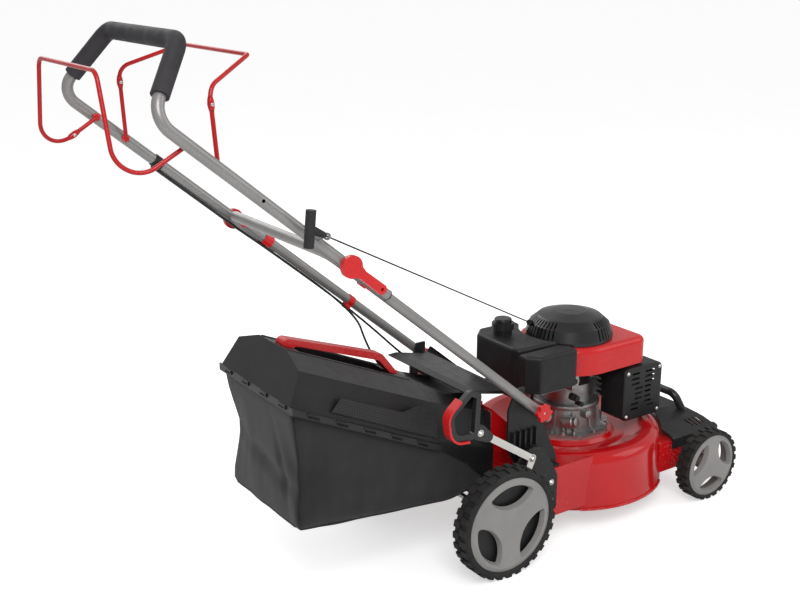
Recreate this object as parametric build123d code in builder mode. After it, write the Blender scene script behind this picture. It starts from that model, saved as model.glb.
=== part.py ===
"""Self-propelled push lawn mower: steel deck, vertical-shaft engine, folding tube handle
with two bails, rear grass bag with a plastic lid. Millimetres, +X forward, +Z up, ground
at z = 0, centre plane at y = 0, and the origin under the middle of the whole length."""

import os
from math import atan2, cos, degrees, hypot, pi, radians, sin, sqrt, tan

from build123d import *

os.makedirs("parts", exist_ok=True)

# ---------------------------------------------------------------- driving dimensions
rear_axle_x = 30.0         # rear axle, ahead of the middle of the length
wheelbase = 655.0
rear_wheel_r = 127.0
rear_wheel_w = 46.0
rear_hub_r = 108.0
front_wheel_r = 90.0
front_wheel_w = 42.0
front_hub_r = 78.0
rear_face_y = 273.0        # outer face of a rear wheel
apron_half = 200.0         # half width of the deck's front apron
front_wheel_gap = 17.0     # between the apron and a front wheel
front_face_y = apron_half + front_wheel_gap + front_wheel_w
axle_r = 6.0
running_gap = 0.05         # radial clearance of a shaft in its hole
body_gap = 0.4             # between pieces that move past each other

deck_x = rear_axle_x + 396.0
deck_r = 240.0
rim_z = 56.0
deck_top_z = 190.0
platform_z = 176.0         # seat of the engine flange
platform_r = 114.0
sheet = 2.0                # pressed steel of the deck

tunnel_half = 142.0        # half width of the discharge tunnel
tail_x = rear_axle_x + 44.0
bracket_y = 207.0          # inner face of a side bracket
bracket_t = 3.0

gear_teeth = 58            # internal gear inside each rear wheel
pinion_teeth = 10
gear_module = 2.5
carrier_angle = 18.5       # degrees, from the rear axle up to the drive shaft
carrier_arm = gear_module * (gear_teeth - pinion_teeth) / 2
shaft_x = rear_axle_x + carrier_arm * cos(radians(carrier_angle))
shaft_z = rear_wheel_r + carrier_arm * sin(radians(carrier_angle))
lever_x = rear_axle_x + 97.0
lever_z = 240.0
rear_ear_h = 34.0          # link pin above the pivot of the rear carrier
front_ear_h = 28.0         # and above the pivot of the front axle
front_pivot_x = rear_axle_x + wheelbase + 45.0
front_pivot_z = 112.0

tube_r = 11.0
tube_wall = 1.5
lower_y = 201.0            # centre line of a lower handle leg
upper_y = 224.0
handle_x = rear_axle_x + 144.0
handle_z = 325.0           # bolt that carries the lower handle
handle_slope = 39.5        # degrees of the legs above the ground

engine_r = 108.0
flange_t = 10.0
rope_r = 1.6
cable_r = 2.6


def side_plane(y):
    """Vertical plane seen from the right side, at this y; extrusion goes towards -Y."""
    return Plane(origin=(0, y, 0), x_dir=(1, 0, 0), z_dir=(0, -1, 0))


def across(x, z, radius, y_left, y_right, mode=Mode.ADD):
    """Round bar or hole lying across the machine, from y_left down to y_right."""
    with BuildSketch(side_plane(y_left)) as section:
        with Locations((x, z)):
            Circle(radius)
    extrude(section.sketch, amount=y_left - y_right, mode=mode)


def plate(points, y_left, y_right, corner=0.0, mode=Mode.ADD):
    """Flat plate with this side outline, from y_left down to y_right."""
    with BuildSketch(side_plane(y_left)) as outline:
        with BuildLine():
            Polyline(*points, close=True)
        make_face()
        if corner:
            fillet(outline.vertices(), corner)
    extrude(outline.sketch, amount=y_left - y_right, mode=mode)


def upright(x, y, radius, z_low, z_high, mode=Mode.ADD):
    """Round post or hole standing up."""
    with BuildSketch(Plane.XY.offset(z_low)) as section:
        with Locations((x, y)):
            Circle(radius)
    extrude(section.sketch, amount=z_high - z_low, mode=mode)


def block(x_range, y_range, z_range, corner=0.0, mode=Mode.ADD):
    """Box between these limits, with its upright edges rounded."""
    with BuildSketch(Plane.XY.offset(z_range[0])) as section:
        with Locations(((x_range[0] + x_range[1]) / 2, (y_range[0] + y_range[1]) / 2)):
            Rectangle(x_range[1] - x_range[0], y_range[1] - y_range[0])
        if corner:
            fillet(section.vertices(), corner)
    extrude(section.sketch, amount=z_range[1] - z_range[0], mode=mode)


def bar(points, radii, radius, mode=Mode.ADD):
    """Round bar along straight runs joined by arcs."""
    with BuildLine() as path:
        if len(points) > 2:
            FilletPolyline(*points, radius=radii)
        else:
            Line(*points)
    with BuildSketch(Plane(origin=path.line @ 0, z_dir=path.line % 0)) as section:
        Circle(radius)
    sweep(sections=section.sketch, path=path.line, mode=mode)


def tube(points, radii, radius, wall):
    """Hollow round tube along straight runs joined by arcs."""
    with BuildLine() as path:
        if len(points) > 2:
            FilletPolyline(*points, radius=radii)
        else:
            Line(*points)
    with BuildSketch(Plane(origin=path.line @ 0, z_dir=path.line % 0)) as section:
        Circle(radius)
        Circle(radius - wall, mode=Mode.SUBTRACT)
    sweep(sections=section.sketch, path=path.line)


def save(builder, name):
    builder.part.label = name
    export_step(builder.part, f"parts/{name}.step")


def mirrored(points):
    """The same route on the other side, in reverse, so that both join into one."""
    return [(x, -y, z) for x, y, z in reversed(points)]


SIDES = (("right", -1), ("left", 1))
leg = Vector(cos(radians(handle_slope)), 0, -sin(radians(handle_slope)))  # down the leg
leg_up = Vector(sin(radians(handle_slope)), 0, cos(radians(handle_slope)))


def on_leg(distance, y=0.0, lift=0.0):
    """Point of the leg line, this far up the leg from the handle bolt."""
    spot = Vector(handle_x, y, handle_z) - leg * distance + leg_up * lift
    return (spot.X, spot.Y, spot.Z)


# ---------------------------------------------------------------- deck
taper = 8.0
shoulder_r = 26.0


def deck_half_section(inset):
    """Half outline of the pressed dome; the inner skin is inset by the sheet."""
    bead = 3.5 if inset == 0 else 0.0
    low = rim_z - inset * 5
    with BuildSketch(Plane.XZ) as half:
        with BuildLine():
            Polyline(
                (0, low),
                (deck_r + bead - inset, low),
                (deck_r + bead - inset, rim_z + 6),
                (deck_r - inset, rim_z + 7),
                (deck_r - taper - inset, deck_top_z - inset),
                (deck_r - 46 - inset / 2, deck_top_z - inset),
                (platform_r + 34 + inset, platform_z - 8 - inset),
                (platform_r + 8 + inset, platform_z - 8 - inset),
                (platform_r - inset, platform_z - inset),
                (0, platform_z - inset),
                close=True,
            )
        make_face()
        shoulder = half.vertices().sort_by_distance(Vector(deck_r - taper, deck_top_z))[0]
        fillet(shoulder, shoulder_r - inset)
    return half.sketch.moved(Location((deck_x, 0, 0)))


deck_axis = Axis((deck_x, 0, 0), (0, 0, 1))
tunnel_floor = [(deck_x - deck_r - 4, 112), (tail_x, 186)]
tunnel_roof = [(tail_x, 342), (deck_x - deck_r + 56, deck_top_z - 4)]
apron_top = 158.0
apron_front = front_pivot_x + 22.0
body_half = bracket_y
tail_wall_x = rear_axle_x + 92.0
arm_y = 199.0              # inner face of a rear arm
arm_reach = 10.5           # the right arm swings this far in past the tail wall
arm_room = 2.5             # and this far beside it stays open
foot = Vector(rear_axle_x + 700, 130, 154)
bar_top = Vector(rear_axle_x + 672, 105, 228)
rear_pin = Vector(shaft_x, -192, shaft_z + rear_ear_h)
link_knee = Vector(deck_x - 0.75 * deck_r, -0.63 * deck_r, 167)
front_pin = Vector(front_pivot_x, -140, front_pivot_z + front_ear_h)
belt_z = 100.0


def on_link(x):
    """Point of the height link at this x; it bends once, at the skirt of the deck."""
    start, end = (rear_pin, link_knee) if x < link_knee.X else (link_knee, front_pin)
    return start + (end - start) * ((x - start.X) / (end.X - start.X))


def skirt_crossing(start, end, way):
    """Where this run of the height link enters (-1) or leaves (+1) the round skirt of the deck."""
    run = end - start
    off = start - Vector(deck_x, 0, 0)
    square, half, rest = run.X ** 2 + run.Y ** 2, off.X * run.X + off.Y * run.Y, off.X ** 2 + off.Y ** 2
    root = sqrt(half ** 2 - square * (rest - (deck_r - taper / 2) ** 2))
    return start + run * ((way * root - half) / square)


def ring_plan(x_range, half_width, z_range, keep_out, mode):
    """Block beside the round dome, with the dome's circle left out of it."""
    with BuildSketch(Plane.XY.offset(z_range[0])) as plan:
        with Locations(((x_range[0] + x_range[1]) / 2, 0)):
            Rectangle(x_range[1] - x_range[0], 2 * half_width)
        with Locations((deck_x, 0)):
            Circle(keep_out, mode=Mode.SUBTRACT)
    extrude(plan.sketch, amount=z_range[1] - z_range[0], mode=mode)


with BuildPart() as deck_shell:
    revolve(deck_half_section(0), axis=deck_axis)
    ring_plan((tail_wall_x, deck_x - 100), body_half, (rim_z + 14, deck_top_z), deck_r - 12, Mode.ADD)
    ring_plan((deck_x + 130, apron_front), apron_half, (rim_z + 26, apron_top), deck_r - 12, Mode.ADD)
    ring_plan((tail_wall_x + sheet, deck_x - 100), body_half - sheet, (0, deck_top_z - sheet), deck_r,
              Mode.SUBTRACT)
    ring_plan((deck_x + 130, apron_front - sheet), apron_half - sheet, (0, apron_top - sheet), deck_r,
              Mode.SUBTRACT)
    tunnel_outline = tunnel_floor + tunnel_roof
    plate(tunnel_outline, tunnel_half, -tunnel_half)
    revolve(deck_half_section(sheet), axis=deck_axis, mode=Mode.SUBTRACT)
    inner_outline = [
        (tunnel_floor[0][0] + 64, tunnel_floor[0][1] - 16),
        (tunnel_floor[0][0] + 28, tunnel_floor[0][1] - 16),
        (tunnel_floor[0][0], tunnel_floor[0][1] + sheet),
        (tail_x - 5, tunnel_floor[1][1] + sheet + 3),
        (tail_x - 5, tunnel_roof[0][1] - sheet),
        (tunnel_roof[1][0] - 3, tunnel_roof[1][1] - sheet),
        (tunnel_floor[0][0] + 64, tunnel_roof[1][1] - 10),
    ]
    plate(inner_outline, tunnel_half - sheet, -tunnel_half + sheet, mode=Mode.SUBTRACT)
    upright(deck_x, 0, 32, 0, deck_top_z + 20, Mode.SUBTRACT)
    # front axle bearings, height link, belt and gearbox openings
    across(front_pivot_x, front_pivot_z, 9, apron_half + 5, -apron_half - 5, Mode.SUBTRACT)
    for spot in (on_link(tail_wall_x), skirt_crossing(rear_pin, link_knee, -1),
                 skirt_crossing(link_knee, front_pin, 1)):
        block((spot.X - 24, spot.X + 24), (spot.Y - 13, spot.Y + 13), (spot.Z - 10, spot.Z + 10),
              mode=Mode.SUBTRACT)
    block((tail_wall_x - 5, tail_wall_x + 9), (-54, 54), (rim_z, 152), mode=Mode.SUBTRACT)
    block((tail_wall_x - 1, tail_wall_x + arm_reach), (-body_half - 1, -arm_y + arm_room), (162, deck_top_z + 1),
          mode=Mode.SUBTRACT)
    block((deck_x - deck_r - 10, deck_x - deck_r + 30), (-54, 54), (belt_z - 10, belt_z + 16),
          mode=Mode.SUBTRACT)
    for sign in (-1, 1):
        bar([(foot.X, sign * foot.Y, foot.Z), (bar_top.X, sign * bar_top.Y, bar_top.Z)], 0, 10.3, Mode.SUBTRACT)
save(deck_shell, "deck_shell")

# ---------------------------------------------------------------- wheels
tread_h = 4.0
face_t = 12.0
lens_r = 93.0 / 108.0      # outer edge of a hub opening, as a share of the hub
gear_w = 16.0


def wheel_plane(x, z, face_y, side, depth=0.0):
    """Plane on the outer face of a wheel, looking inwards, with its y axis up."""
    return Plane(
        origin=(x, side * (face_y - depth), z), x_dir=(side, 0, 0), z_dir=(0, -side, 0)
    )


def wheel_ring(plane, outline):
    """Solid of revolution about the axle from (radius, depth) points."""
    section_plane = Plane(origin=plane.origin, x_dir=plane.x_dir, z_dir=plane.x_dir.cross(plane.z_dir))
    with BuildSketch(section_plane) as half:
        with BuildLine():
            Polyline(*outline, close=True)
        make_face()
    revolve(half.sketch, axis=Axis(plane.origin, plane.z_dir))


def build_hub(name, x, z, radius, width, face_y, side, start_angle):
    plane = wheel_plane(x, z, face_y, side)
    with BuildPart() as hub:
        wheel_ring(plane, [
            (0, 0), (radius - 9, 0), (radius - 0.1, 4), (radius - 0.1, width - 4),
            (radius - 5, width - 4), (radius - 5, face_t), (21, face_t), (19, width), (0, width),
        ])
        opening_r = radius * lens_r
        bulge = radius * 0.69
        away = radius * 1.06
        for turn in (0, 120, 240):
            angle = start_angle + turn
            spoke_dir = Vector(cos(radians(angle)) * side, 0, sin(radians(angle)))
            lens_plane = Plane(origin=plane.origin, x_dir=spoke_dir, z_dir=plane.z_dir)
            with BuildSketch(lens_plane) as lens:
                Circle(opening_r)
                with Locations((away, 0)):
                    Circle(bulge, mode=Mode.INTERSECT)
                fillet(lens.vertices(), radius * 0.06)
            extrude(lens.sketch, amount=face_t + 1, taper=18, mode=Mode.SUBTRACT)
        with BuildSketch(wheel_plane(x, z, face_y, side, 6)) as bore:
            Circle(axle_r + running_gap)
        extrude(bore.sketch, amount=width, mode=Mode.SUBTRACT)
    save(hub, name)


def build_tyre(name, x, z, radius, hub_radius, width, face_y, side, blocks):
    plane = wheel_plane(x, z, face_y, side)
    base_r = radius - tread_h
    with BuildPart() as tyre:
        wheel_ring(plane, [
            (hub_radius, 4), (hub_radius + 3, 1), (base_r - 4, 1), (base_r, 5),
            (base_r, width - 5), (base_r - 4, width - 1), (hub_radius + 3, width - 1),
            (hub_radius, width - 4),
        ])
        pitch = 360 / blocks
        for row_start, shift in ((3.0, 0.0), (width / 2 + 1, 0.5)):
            row_plane = wheel_plane(x, z, face_y, side, row_start)
            with BuildSketch(row_plane) as row:
                with PolarLocations(base_r, blocks, -90 + shift * pitch):
                    Rectangle(2 * tread_h + 3, 2 * pi * base_r / blocks * 0.58)
                Circle(radius, mode=Mode.INTERSECT)
            extrude(row.sketch, amount=width / 2 - 4)
    save(tyre, name)


def gear_outline(teeth, module, inside, start):
    """Tooth ring as alternating tip and root corners, four to a tooth; start in degrees."""
    tip = module * teeth / 2 + (-module if inside else module)
    root = module * teeth / 2 + (1.3 * module if inside else -1.3 * module)
    pitch = 2 * pi / teeth
    corners = []
    for tooth in range(teeth):
        middle = tooth * pitch + radians(start)
        for share, radius in ((-0.27, root), (-0.11, tip), (0.11, tip), (0.27, root)):
            angle = middle + share * pitch
            corners.append((radius * cos(angle), radius * sin(angle)))
    return corners


def build_wheel_gear(name, side):
    """Black inner disc of a driven wheel, with the internal gear on its inner side."""
    disc_depth = 20.0
    mesh = carrier_angle if side > 0 else 180 - carrier_angle
    with BuildPart() as gear:
        wheel_ring(wheel_plane(rear_axle_x, rear_wheel_r, rear_face_y, side), [
            (21.5, disc_depth), (rear_hub_r - 5.2, disc_depth), (rear_hub_r - 5.2, disc_depth + 3),
            (gear_teeth * gear_module / 2 + 8, disc_depth + 3),
            (gear_teeth * gear_module / 2 + 8, disc_depth + 3 + gear_w),
            (gear_teeth * gear_module / 2 - gear_module, disc_depth + 3 + gear_w),
            (gear_teeth * gear_module / 2 - gear_module, disc_depth + 3), (21.5, disc_depth + 3),
        ])
        with BuildSketch(wheel_plane(rear_axle_x, rear_wheel_r, rear_face_y, side, disc_depth + 3)) as gaps:
            Circle(gear_teeth * gear_module / 2 + 1.3 * gear_module)
            with BuildLine():
                Polyline(*gear_outline(gear_teeth, gear_module, True, mesh), close=True)
            make_face(mode=Mode.INTERSECT)
        extrude(gaps.sketch, amount=gear_w + 1, mode=Mode.SUBTRACT)
    save(gear, name)


for side_name, side in SIDES:
    build_hub(f"{side_name}_rear_hub", rear_axle_x, rear_wheel_r, rear_hub_r, rear_wheel_w,
              rear_face_y, side, 90)
    build_tyre(f"{side_name}_rear_tyre", rear_axle_x, rear_wheel_r, rear_wheel_r, rear_hub_r,
               rear_wheel_w, rear_face_y, side, 30)
    build_wheel_gear(f"{side_name}_wheel_gear", side)
    build_hub(f"{side_name}_front_hub", rear_axle_x + wheelbase, front_wheel_r, front_hub_r,
              front_wheel_w, front_face_y, side, 270)
    build_tyre(f"{side_name}_front_tyre", rear_axle_x + wheelbase, front_wheel_r, front_wheel_r,
               front_hub_r, front_wheel_w, front_face_y, side, 24)

# ---------------------------------------------------------------- rear axle and its carrier
bush_r = 11.0
arm_t = 5.0
q_from_lever = 57.0        # lever pin below the lever pivot
pivot_span = hypot(lever_x - shaft_x, lever_z - shaft_z)
toward_shaft = ((shaft_x - lever_x) / pivot_span, (shaft_z - lever_z) / pivot_span)
lever_pin = (lever_x + q_from_lever * toward_shaft[0], lever_z + q_from_lever * toward_shaft[1])
pin_r = 4.0
slot_play = 1.2

with BuildPart() as rear_axle:
    for side in (-1, 1):
        y_left = arm_y + arm_t if side > 0 else -arm_y
        with BuildSketch(side_plane(y_left)) as outline:
            with Locations((rear_axle_x, rear_wheel_r)):
                Circle(13)
            with Locations((shaft_x, shaft_z)):
                Circle(18)
            make_hull()
            if side < 0:
                with Locations((rear_pin.X, rear_pin.Z)):
                    Circle(9)
                with Locations((lever_pin[0] - 4 * toward_shaft[0], lever_pin[1] - 4 * toward_shaft[1])):
                    Circle(12)
                with Locations((shaft_x, shaft_z)):
                    Circle(18)
                make_hull()
        extrude(outline.sketch, amount=arm_t)
        across(shaft_x, shaft_z, bush_r + running_gap, y_left + 1, y_left - arm_t - 1, Mode.SUBTRACT)
    slot_angle = degrees(atan2(toward_shaft[1], toward_shaft[0]))
    middle = (lever_pin[0] - 2.5 * toward_shaft[0], lever_pin[1] - 2.5 * toward_shaft[1])
    with BuildSketch(side_plane(-arm_y + 1)) as slot:
        with Locations(middle):
            SlotCenterToCenter(7, 2 * (pin_r + slot_play), rotation=slot_angle)
    extrude(slot.sketch, amount=arm_t + 2, mode=Mode.SUBTRACT)
    across(rear_pin.X, rear_pin.Z, pin_r, rear_pin.Y + 4, -arm_y - 0.5)
    across(rear_axle_x, rear_wheel_r, axle_r, rear_face_y - 12, -rear_face_y + 12)
save(rear_axle, "rear_axle")

with BuildPart() as drive_shaft:
    across(shaft_x, shaft_z, axle_r, rear_face_y - 24, -rear_face_y + 24)
    for side in (-1, 1):
        mesh = carrier_angle if side > 0 else 180 - carrier_angle
        with BuildSketch(wheel_plane(shaft_x, shaft_z, rear_face_y, side, 24)) as teeth:
            with BuildLine():
                Polyline(*gear_outline(pinion_teeth, gear_module, False, mesh + 180 / pinion_teeth), close=True)
            make_face()
        extrude(teeth.sketch, amount=gear_w - 2)
save(drive_shaft, "drive_shaft")

# ---------------------------------------------------------------- side brackets
with BuildPart() as side_brackets:
    for side in (-1, 1):
        y_left = bracket_y + bracket_t if side > 0 else -bracket_y
        outline = [
            (shaft_x - 18, shaft_z - 20), (shaft_x + 40, shaft_z - 34), (tail_wall_x + 92, rim_z + 30),
            (tail_wall_x + 92, deck_top_z - 16), (lever_x + 42, lever_z + 14), (lever_x + 14, lever_z + 20),
            (lever_x - 20, lever_z + 12), (shaft_x - 26, shaft_z + 44),
        ]
        plate(outline, y_left, y_left - bracket_t, corner=9)
        across(shaft_x, shaft_z, bush_r, y_left + 1, y_left - bracket_t - 1, Mode.SUBTRACT)
    across(lever_x, lever_z, 5 + running_gap, -bracket_y + 1, -bracket_y - bracket_t - 1, Mode.SUBTRACT)
    arc_angle = degrees(atan2(toward_shaft[1], toward_shaft[0]))
    with BuildSketch(side_plane(-bracket_y + 1)) as arc_slot:
        with BuildLine():
            CenterArc((lever_x, lever_z), q_from_lever + pin_r + 1, arc_angle - 26, 52)
            CenterArc((lever_x, lever_z), q_from_lever - pin_r - 1, arc_angle - 26, 52)
            for angle in (arc_angle - 26, arc_angle + 26):
                ray = Vector(1, 0).rotate(Axis.Z, angle)
                pivot = Vector(lever_x, lever_z)
                Line(pivot + ray * (q_from_lever - pin_r - 1), pivot + ray * (q_from_lever + pin_r + 1))
        make_face()
    extrude(arc_slot.sketch, amount=bracket_t + 2, mode=Mode.SUBTRACT)
save(side_brackets, "side_brackets")

# ---------------------------------------------------------------- height lever and link
lever_y = 218.0            # inner face of the lever's steel arm
lever_t = 4.0
handle_y = lever_y + 6.0                 # middle plane of the D handle

with BuildPart() as height_lever:
    y_left = -lever_y
    with BuildSketch(side_plane(y_left)) as arm_outline:
        with Locations(lever_pin):
            Circle(8)
        with Locations((lever_x, lever_z)):
            Circle(10)
        make_hull()
    extrude(arm_outline.sketch, amount=lever_t)
    with BuildSketch(side_plane(y_left)) as bar_outline:
        with Locations((lever_x, lever_z)):
            Circle(8)
        with Locations((rear_axle_x - 52, 338)):
            Circle(8)
        make_hull()
    extrude(bar_outline.sketch, amount=lever_t)
    across(lever_x, lever_z, 5, -bracket_y + 6, y_left)
    across(lever_x, lever_z, 9, -bracket_y + 6, -bracket_y + 1)
    across(lever_x, lever_z, 8, -bracket_y - bracket_t - 0.5, y_left)
    across(lever_pin[0], lever_pin[1], pin_r, -arm_y + 1, y_left)
save(height_lever, "height_lever")

with BuildPart() as lever_handle:
    with BuildSketch(side_plane(-handle_y + 6)) as ring:
        with BuildLine() as ring_line:
            d_shape = FilletPolyline(
                (rear_axle_x - 62, 330), (rear_axle_x - 132, 336), (rear_axle_x - 142, 396),
                (rear_axle_x - 84, 444), (rear_axle_x - 56, 430), radius=[18, 34, 30, 14, 10], close=True)
        make_face()
    extrude(ring.sketch, amount=12)
    with BuildSketch(side_plane(-handle_y + 7)) as hole:
        offset(ring.sketch, amount=-13)
    extrude(hole.sketch, amount=14, mode=Mode.SUBTRACT)
    with BuildSketch(side_plane(-handle_y + 6)) as root:
        with Locations((rear_axle_x - 58, 342)):
            Circle(17)
        with Locations((rear_axle_x - 34, 326)):
            Circle(11)
        make_hull()
    extrude(root.sketch, amount=12)
    with BuildSketch(side_plane(-handle_y + 7)) as slot:
        with Locations((lever_x, lever_z)):
            Circle(8.1)
        with Locations((rear_axle_x - 52, 338)):
            Circle(8.1)
        make_hull()
    extrude(slot.sketch, amount=8, mode=Mode.SUBTRACT)
save(lever_handle, "lever_handle")

with BuildPart() as lever_grip:
    with BuildSketch(side_plane(-handle_y + 11)) as grip_ring:
        offset(ring.sketch, amount=5)
        offset(ring.sketch, amount=0.2, mode=Mode.SUBTRACT)
        with Locations((rear_axle_x - 62, 384)):
            Rectangle(76, 200, rotation=14, mode=Mode.SUBTRACT)
    extrude(grip_ring.sketch, amount=22)
save(lever_grip, "lever_grip")

eye_w = 4.0
with BuildPart() as link_rod:
    bar([rear_pin + Vector(6.5, 0, 0), rear_pin + Vector(32, 0, 0), link_knee,
         front_pin - Vector(6.5, 0, 0)], [60, 120], 3.5)
    for pin in (rear_pin, front_pin):
        with BuildSketch(side_plane(pin.Y + eye_w / 2)) as eye:
            with Locations((pin.X, pin.Z)):
                SlotCenterToCenter(4, 15, rotation=90)
        extrude(eye.sketch, amount=eye_w)
    for pin in (rear_pin, front_pin):
        with BuildSketch(side_plane(pin.Y + eye_w)) as eye:
            with Locations((pin.X, pin.Z - 1.2)):
                SlotCenterToCenter(4, 2 * (pin_r + 0.6), rotation=90)
        extrude(eye.sketch, amount=2 * eye_w, mode=Mode.SUBTRACT)
save(link_rod, "link_rod")

# ---------------------------------------------------------------- front axle
crank_y = (apron_half + front_face_y - front_wheel_w) / 2 + 0.5
stub = (rear_axle_x + wheelbase, front_wheel_r)
with BuildPart() as front_axle:
    half_route = [
        (stub[0], -front_face_y + 8, stub[1]), (stub[0], -crank_y, stub[1]),
        (front_pivot_x, -crank_y, front_pivot_z),
    ]
    bar(half_route + mirrored(half_route), 7.5, axle_r)
    with BuildSketch(side_plane(front_pin.Y + 11)) as ear:
        with Locations((front_pivot_x, front_pivot_z)):
            Circle(11)
        with Locations((front_pin.X, front_pin.Z)):
            Circle(8)
        make_hull()
    extrude(ear.sketch, amount=5)
    across(front_pin.X, front_pin.Z, pin_r, front_pin.Y + 8, front_pin.Y - 5)
save(front_axle, "front_axle")

with BuildPart() as plain_bushes:
    for side in (-1, 1):
        y_left = 214.0 if side > 0 else -194.0
        across(shaft_x, shaft_z, bush_r, y_left, y_left - 20)
        across(shaft_x, shaft_z, bush_r + 4, side * 214 + (2.5 if side > 0 else 0),
               side * 214 - (0 if side > 0 else 2.5))
        across(shaft_x, shaft_z, axle_r + running_gap, y_left + 4, y_left - 24, Mode.SUBTRACT)
        y_left = side * (apron_half + 1.5) if side > 0 else -apron_half + 8
        across(front_pivot_x, front_pivot_z, 9, y_left, y_left - 9.5)
        y_left = apron_half - sheet if side > 0 else -apron_half + 4 + sheet
        across(front_pivot_x, front_pivot_z, 13, y_left, y_left - 4)
        across(front_pivot_x, front_pivot_z, axle_r + running_gap, side * apron_half + 12,
               side * apron_half - 12, Mode.SUBTRACT)
save(plain_bushes, "plain_bushes")

# ---------------------------------------------------------------- gearbox and belt drive
belt_t = 8.0
input_x = shaft_x + 34.0
gear_pulley_r = 38.0
crank_pulley_r = 27.0
with BuildPart() as gearbox:
    across(shaft_x, shaft_z, 24, 40, -40)
    plate([(shaft_x, shaft_z - 22), (input_x + 16, shaft_z - 28), (input_x + 16, shaft_z - 14),
           (shaft_x + 18, shaft_z + 12), (shaft_x, shaft_z + 14)], 26, -26)
    across(shaft_x, shaft_z, axle_r + running_gap, 60, -60, Mode.SUBTRACT)
    upright(input_x, 0, 7 + running_gap, 80, shaft_z - 20, Mode.SUBTRACT)
save(gearbox, "gearbox")

with BuildPart() as gearbox_pulley:
    upright(input_x, 0, gear_pulley_r + 5, belt_z - belt_t / 2 - 2.5, belt_z + belt_t / 2 + 2.5)
    with BuildSketch(Plane.XY.offset(belt_z - belt_t / 2 - 0.3)) as groove:
        with Locations((input_x, 0)):
            Circle(gear_pulley_r + 8)
            Circle(gear_pulley_r, mode=Mode.SUBTRACT)
    extrude(groove.sketch, amount=belt_t + 0.6, mode=Mode.SUBTRACT)
    upright(input_x, 0, 7, belt_z, shaft_z - 20.3)
save(gearbox_pulley, "gearbox_pulley")


def belt_loop(clearance):
    with Locations((input_x, 0)):
        Circle(gear_pulley_r + clearance)
    with Locations((deck_x, 0)):
        Circle(crank_pulley_r + clearance)
    make_hull()


with BuildPart() as drive_belt:
    with BuildSketch(Plane.XY.offset(belt_z - belt_t / 2)) as loop:
        belt_loop(6.5)
    extrude(loop.sketch, amount=belt_t)
    with BuildSketch(Plane.XY.offset(belt_z - belt_t / 2 - 1)) as loop:
        belt_loop(0.3)
    extrude(loop.sketch, amount=belt_t + 2, mode=Mode.SUBTRACT)
save(drive_belt, "drive_belt")

# ---------------------------------------------------------------- blade and crankshaft
blade_z = 72.0
blade_t = 3.5
blade_half = 222.0
blade_w = 52.0
crank_r = 12.5
dome_z = 412.0
with BuildPart() as crankshaft:
    upright(deck_x, 0, crank_r, blade_z + blade_t + 8, 398)
    upright(deck_x, 0, 5, blade_z + blade_t + 2, blade_z + blade_t + 10, Mode.SUBTRACT)
    # flywheel keyed on, with its fan blades
    upright(deck_x, 0, 88, 376.5, 392)
    upright(deck_x, 0, 30, 392, 404)
    with BuildSketch(Plane.XY.offset(391)) as fan:
        with Locations((deck_x, 0)):
            with PolarLocations(68, 16):
                Rectangle(30, 2.5)
    extrude(fan.sketch, amount=13)
save(crankshaft, "crankshaft")

with BuildPart() as blade_adapter:
    low = blade_z + blade_t
    block((deck_x - 30, deck_x + 30), (-34, 34), (low, low + 5), 6)
    upright(deck_x, 0, 20, low, belt_z)
    upright(deck_x, 0, crank_pulley_r + 5, belt_z - belt_t / 2 - 2.5, belt_z + belt_t / 2 + 2.5)
    with BuildSketch(Plane.XY.offset(belt_z - belt_t / 2 - 0.3)) as groove:
        with Locations((deck_x, 0)):
            Circle(crank_pulley_r + 8)
            Circle(crank_pulley_r, mode=Mode.SUBTRACT)
    extrude(groove.sketch, amount=belt_t + 0.6, mode=Mode.SUBTRACT)
    upright(deck_x, 0, 6, 0, 200, Mode.SUBTRACT)
    upright(deck_x, 0, crank_r + 0.02, low + 8, 200, Mode.SUBTRACT)
    # the bolt that clamps blade and adapter to the shaft
    with BuildSketch(Plane.XY.offset(blade_z - 8)) as head:
        with Locations((deck_x, 0)):
            RegularPolygon(11, 6)
    extrude(head.sketch, amount=8)
    upright(deck_x, 0, 4.9, blade_z, low + 9)
save(blade_adapter, "blade_adapter")

with BuildPart() as blade:
    with BuildSketch(Plane.XY.offset(blade_z)) as blank:
        with Locations((deck_x, 0)):
            SlotOverall(2 * blade_half, blade_w)
    extrude(blank.sketch, amount=blade_t)
    for turn in (0, 180):
        wing_plane = Plane(origin=(deck_x, 0, blade_z + blade_t), x_dir=(cos(radians(turn)), sin(radians(turn)), 0))
        with BuildSketch(wing_plane) as wing:
            with Locations((blade_half - 62, -blade_w / 2 + 4)):
                Rectangle(80, 8)
        extrude(wing.sketch, amount=14, taper=8)
    upright(deck_x, 0, 6, 0, 200, Mode.SUBTRACT)
save(blade, "blade")

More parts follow.
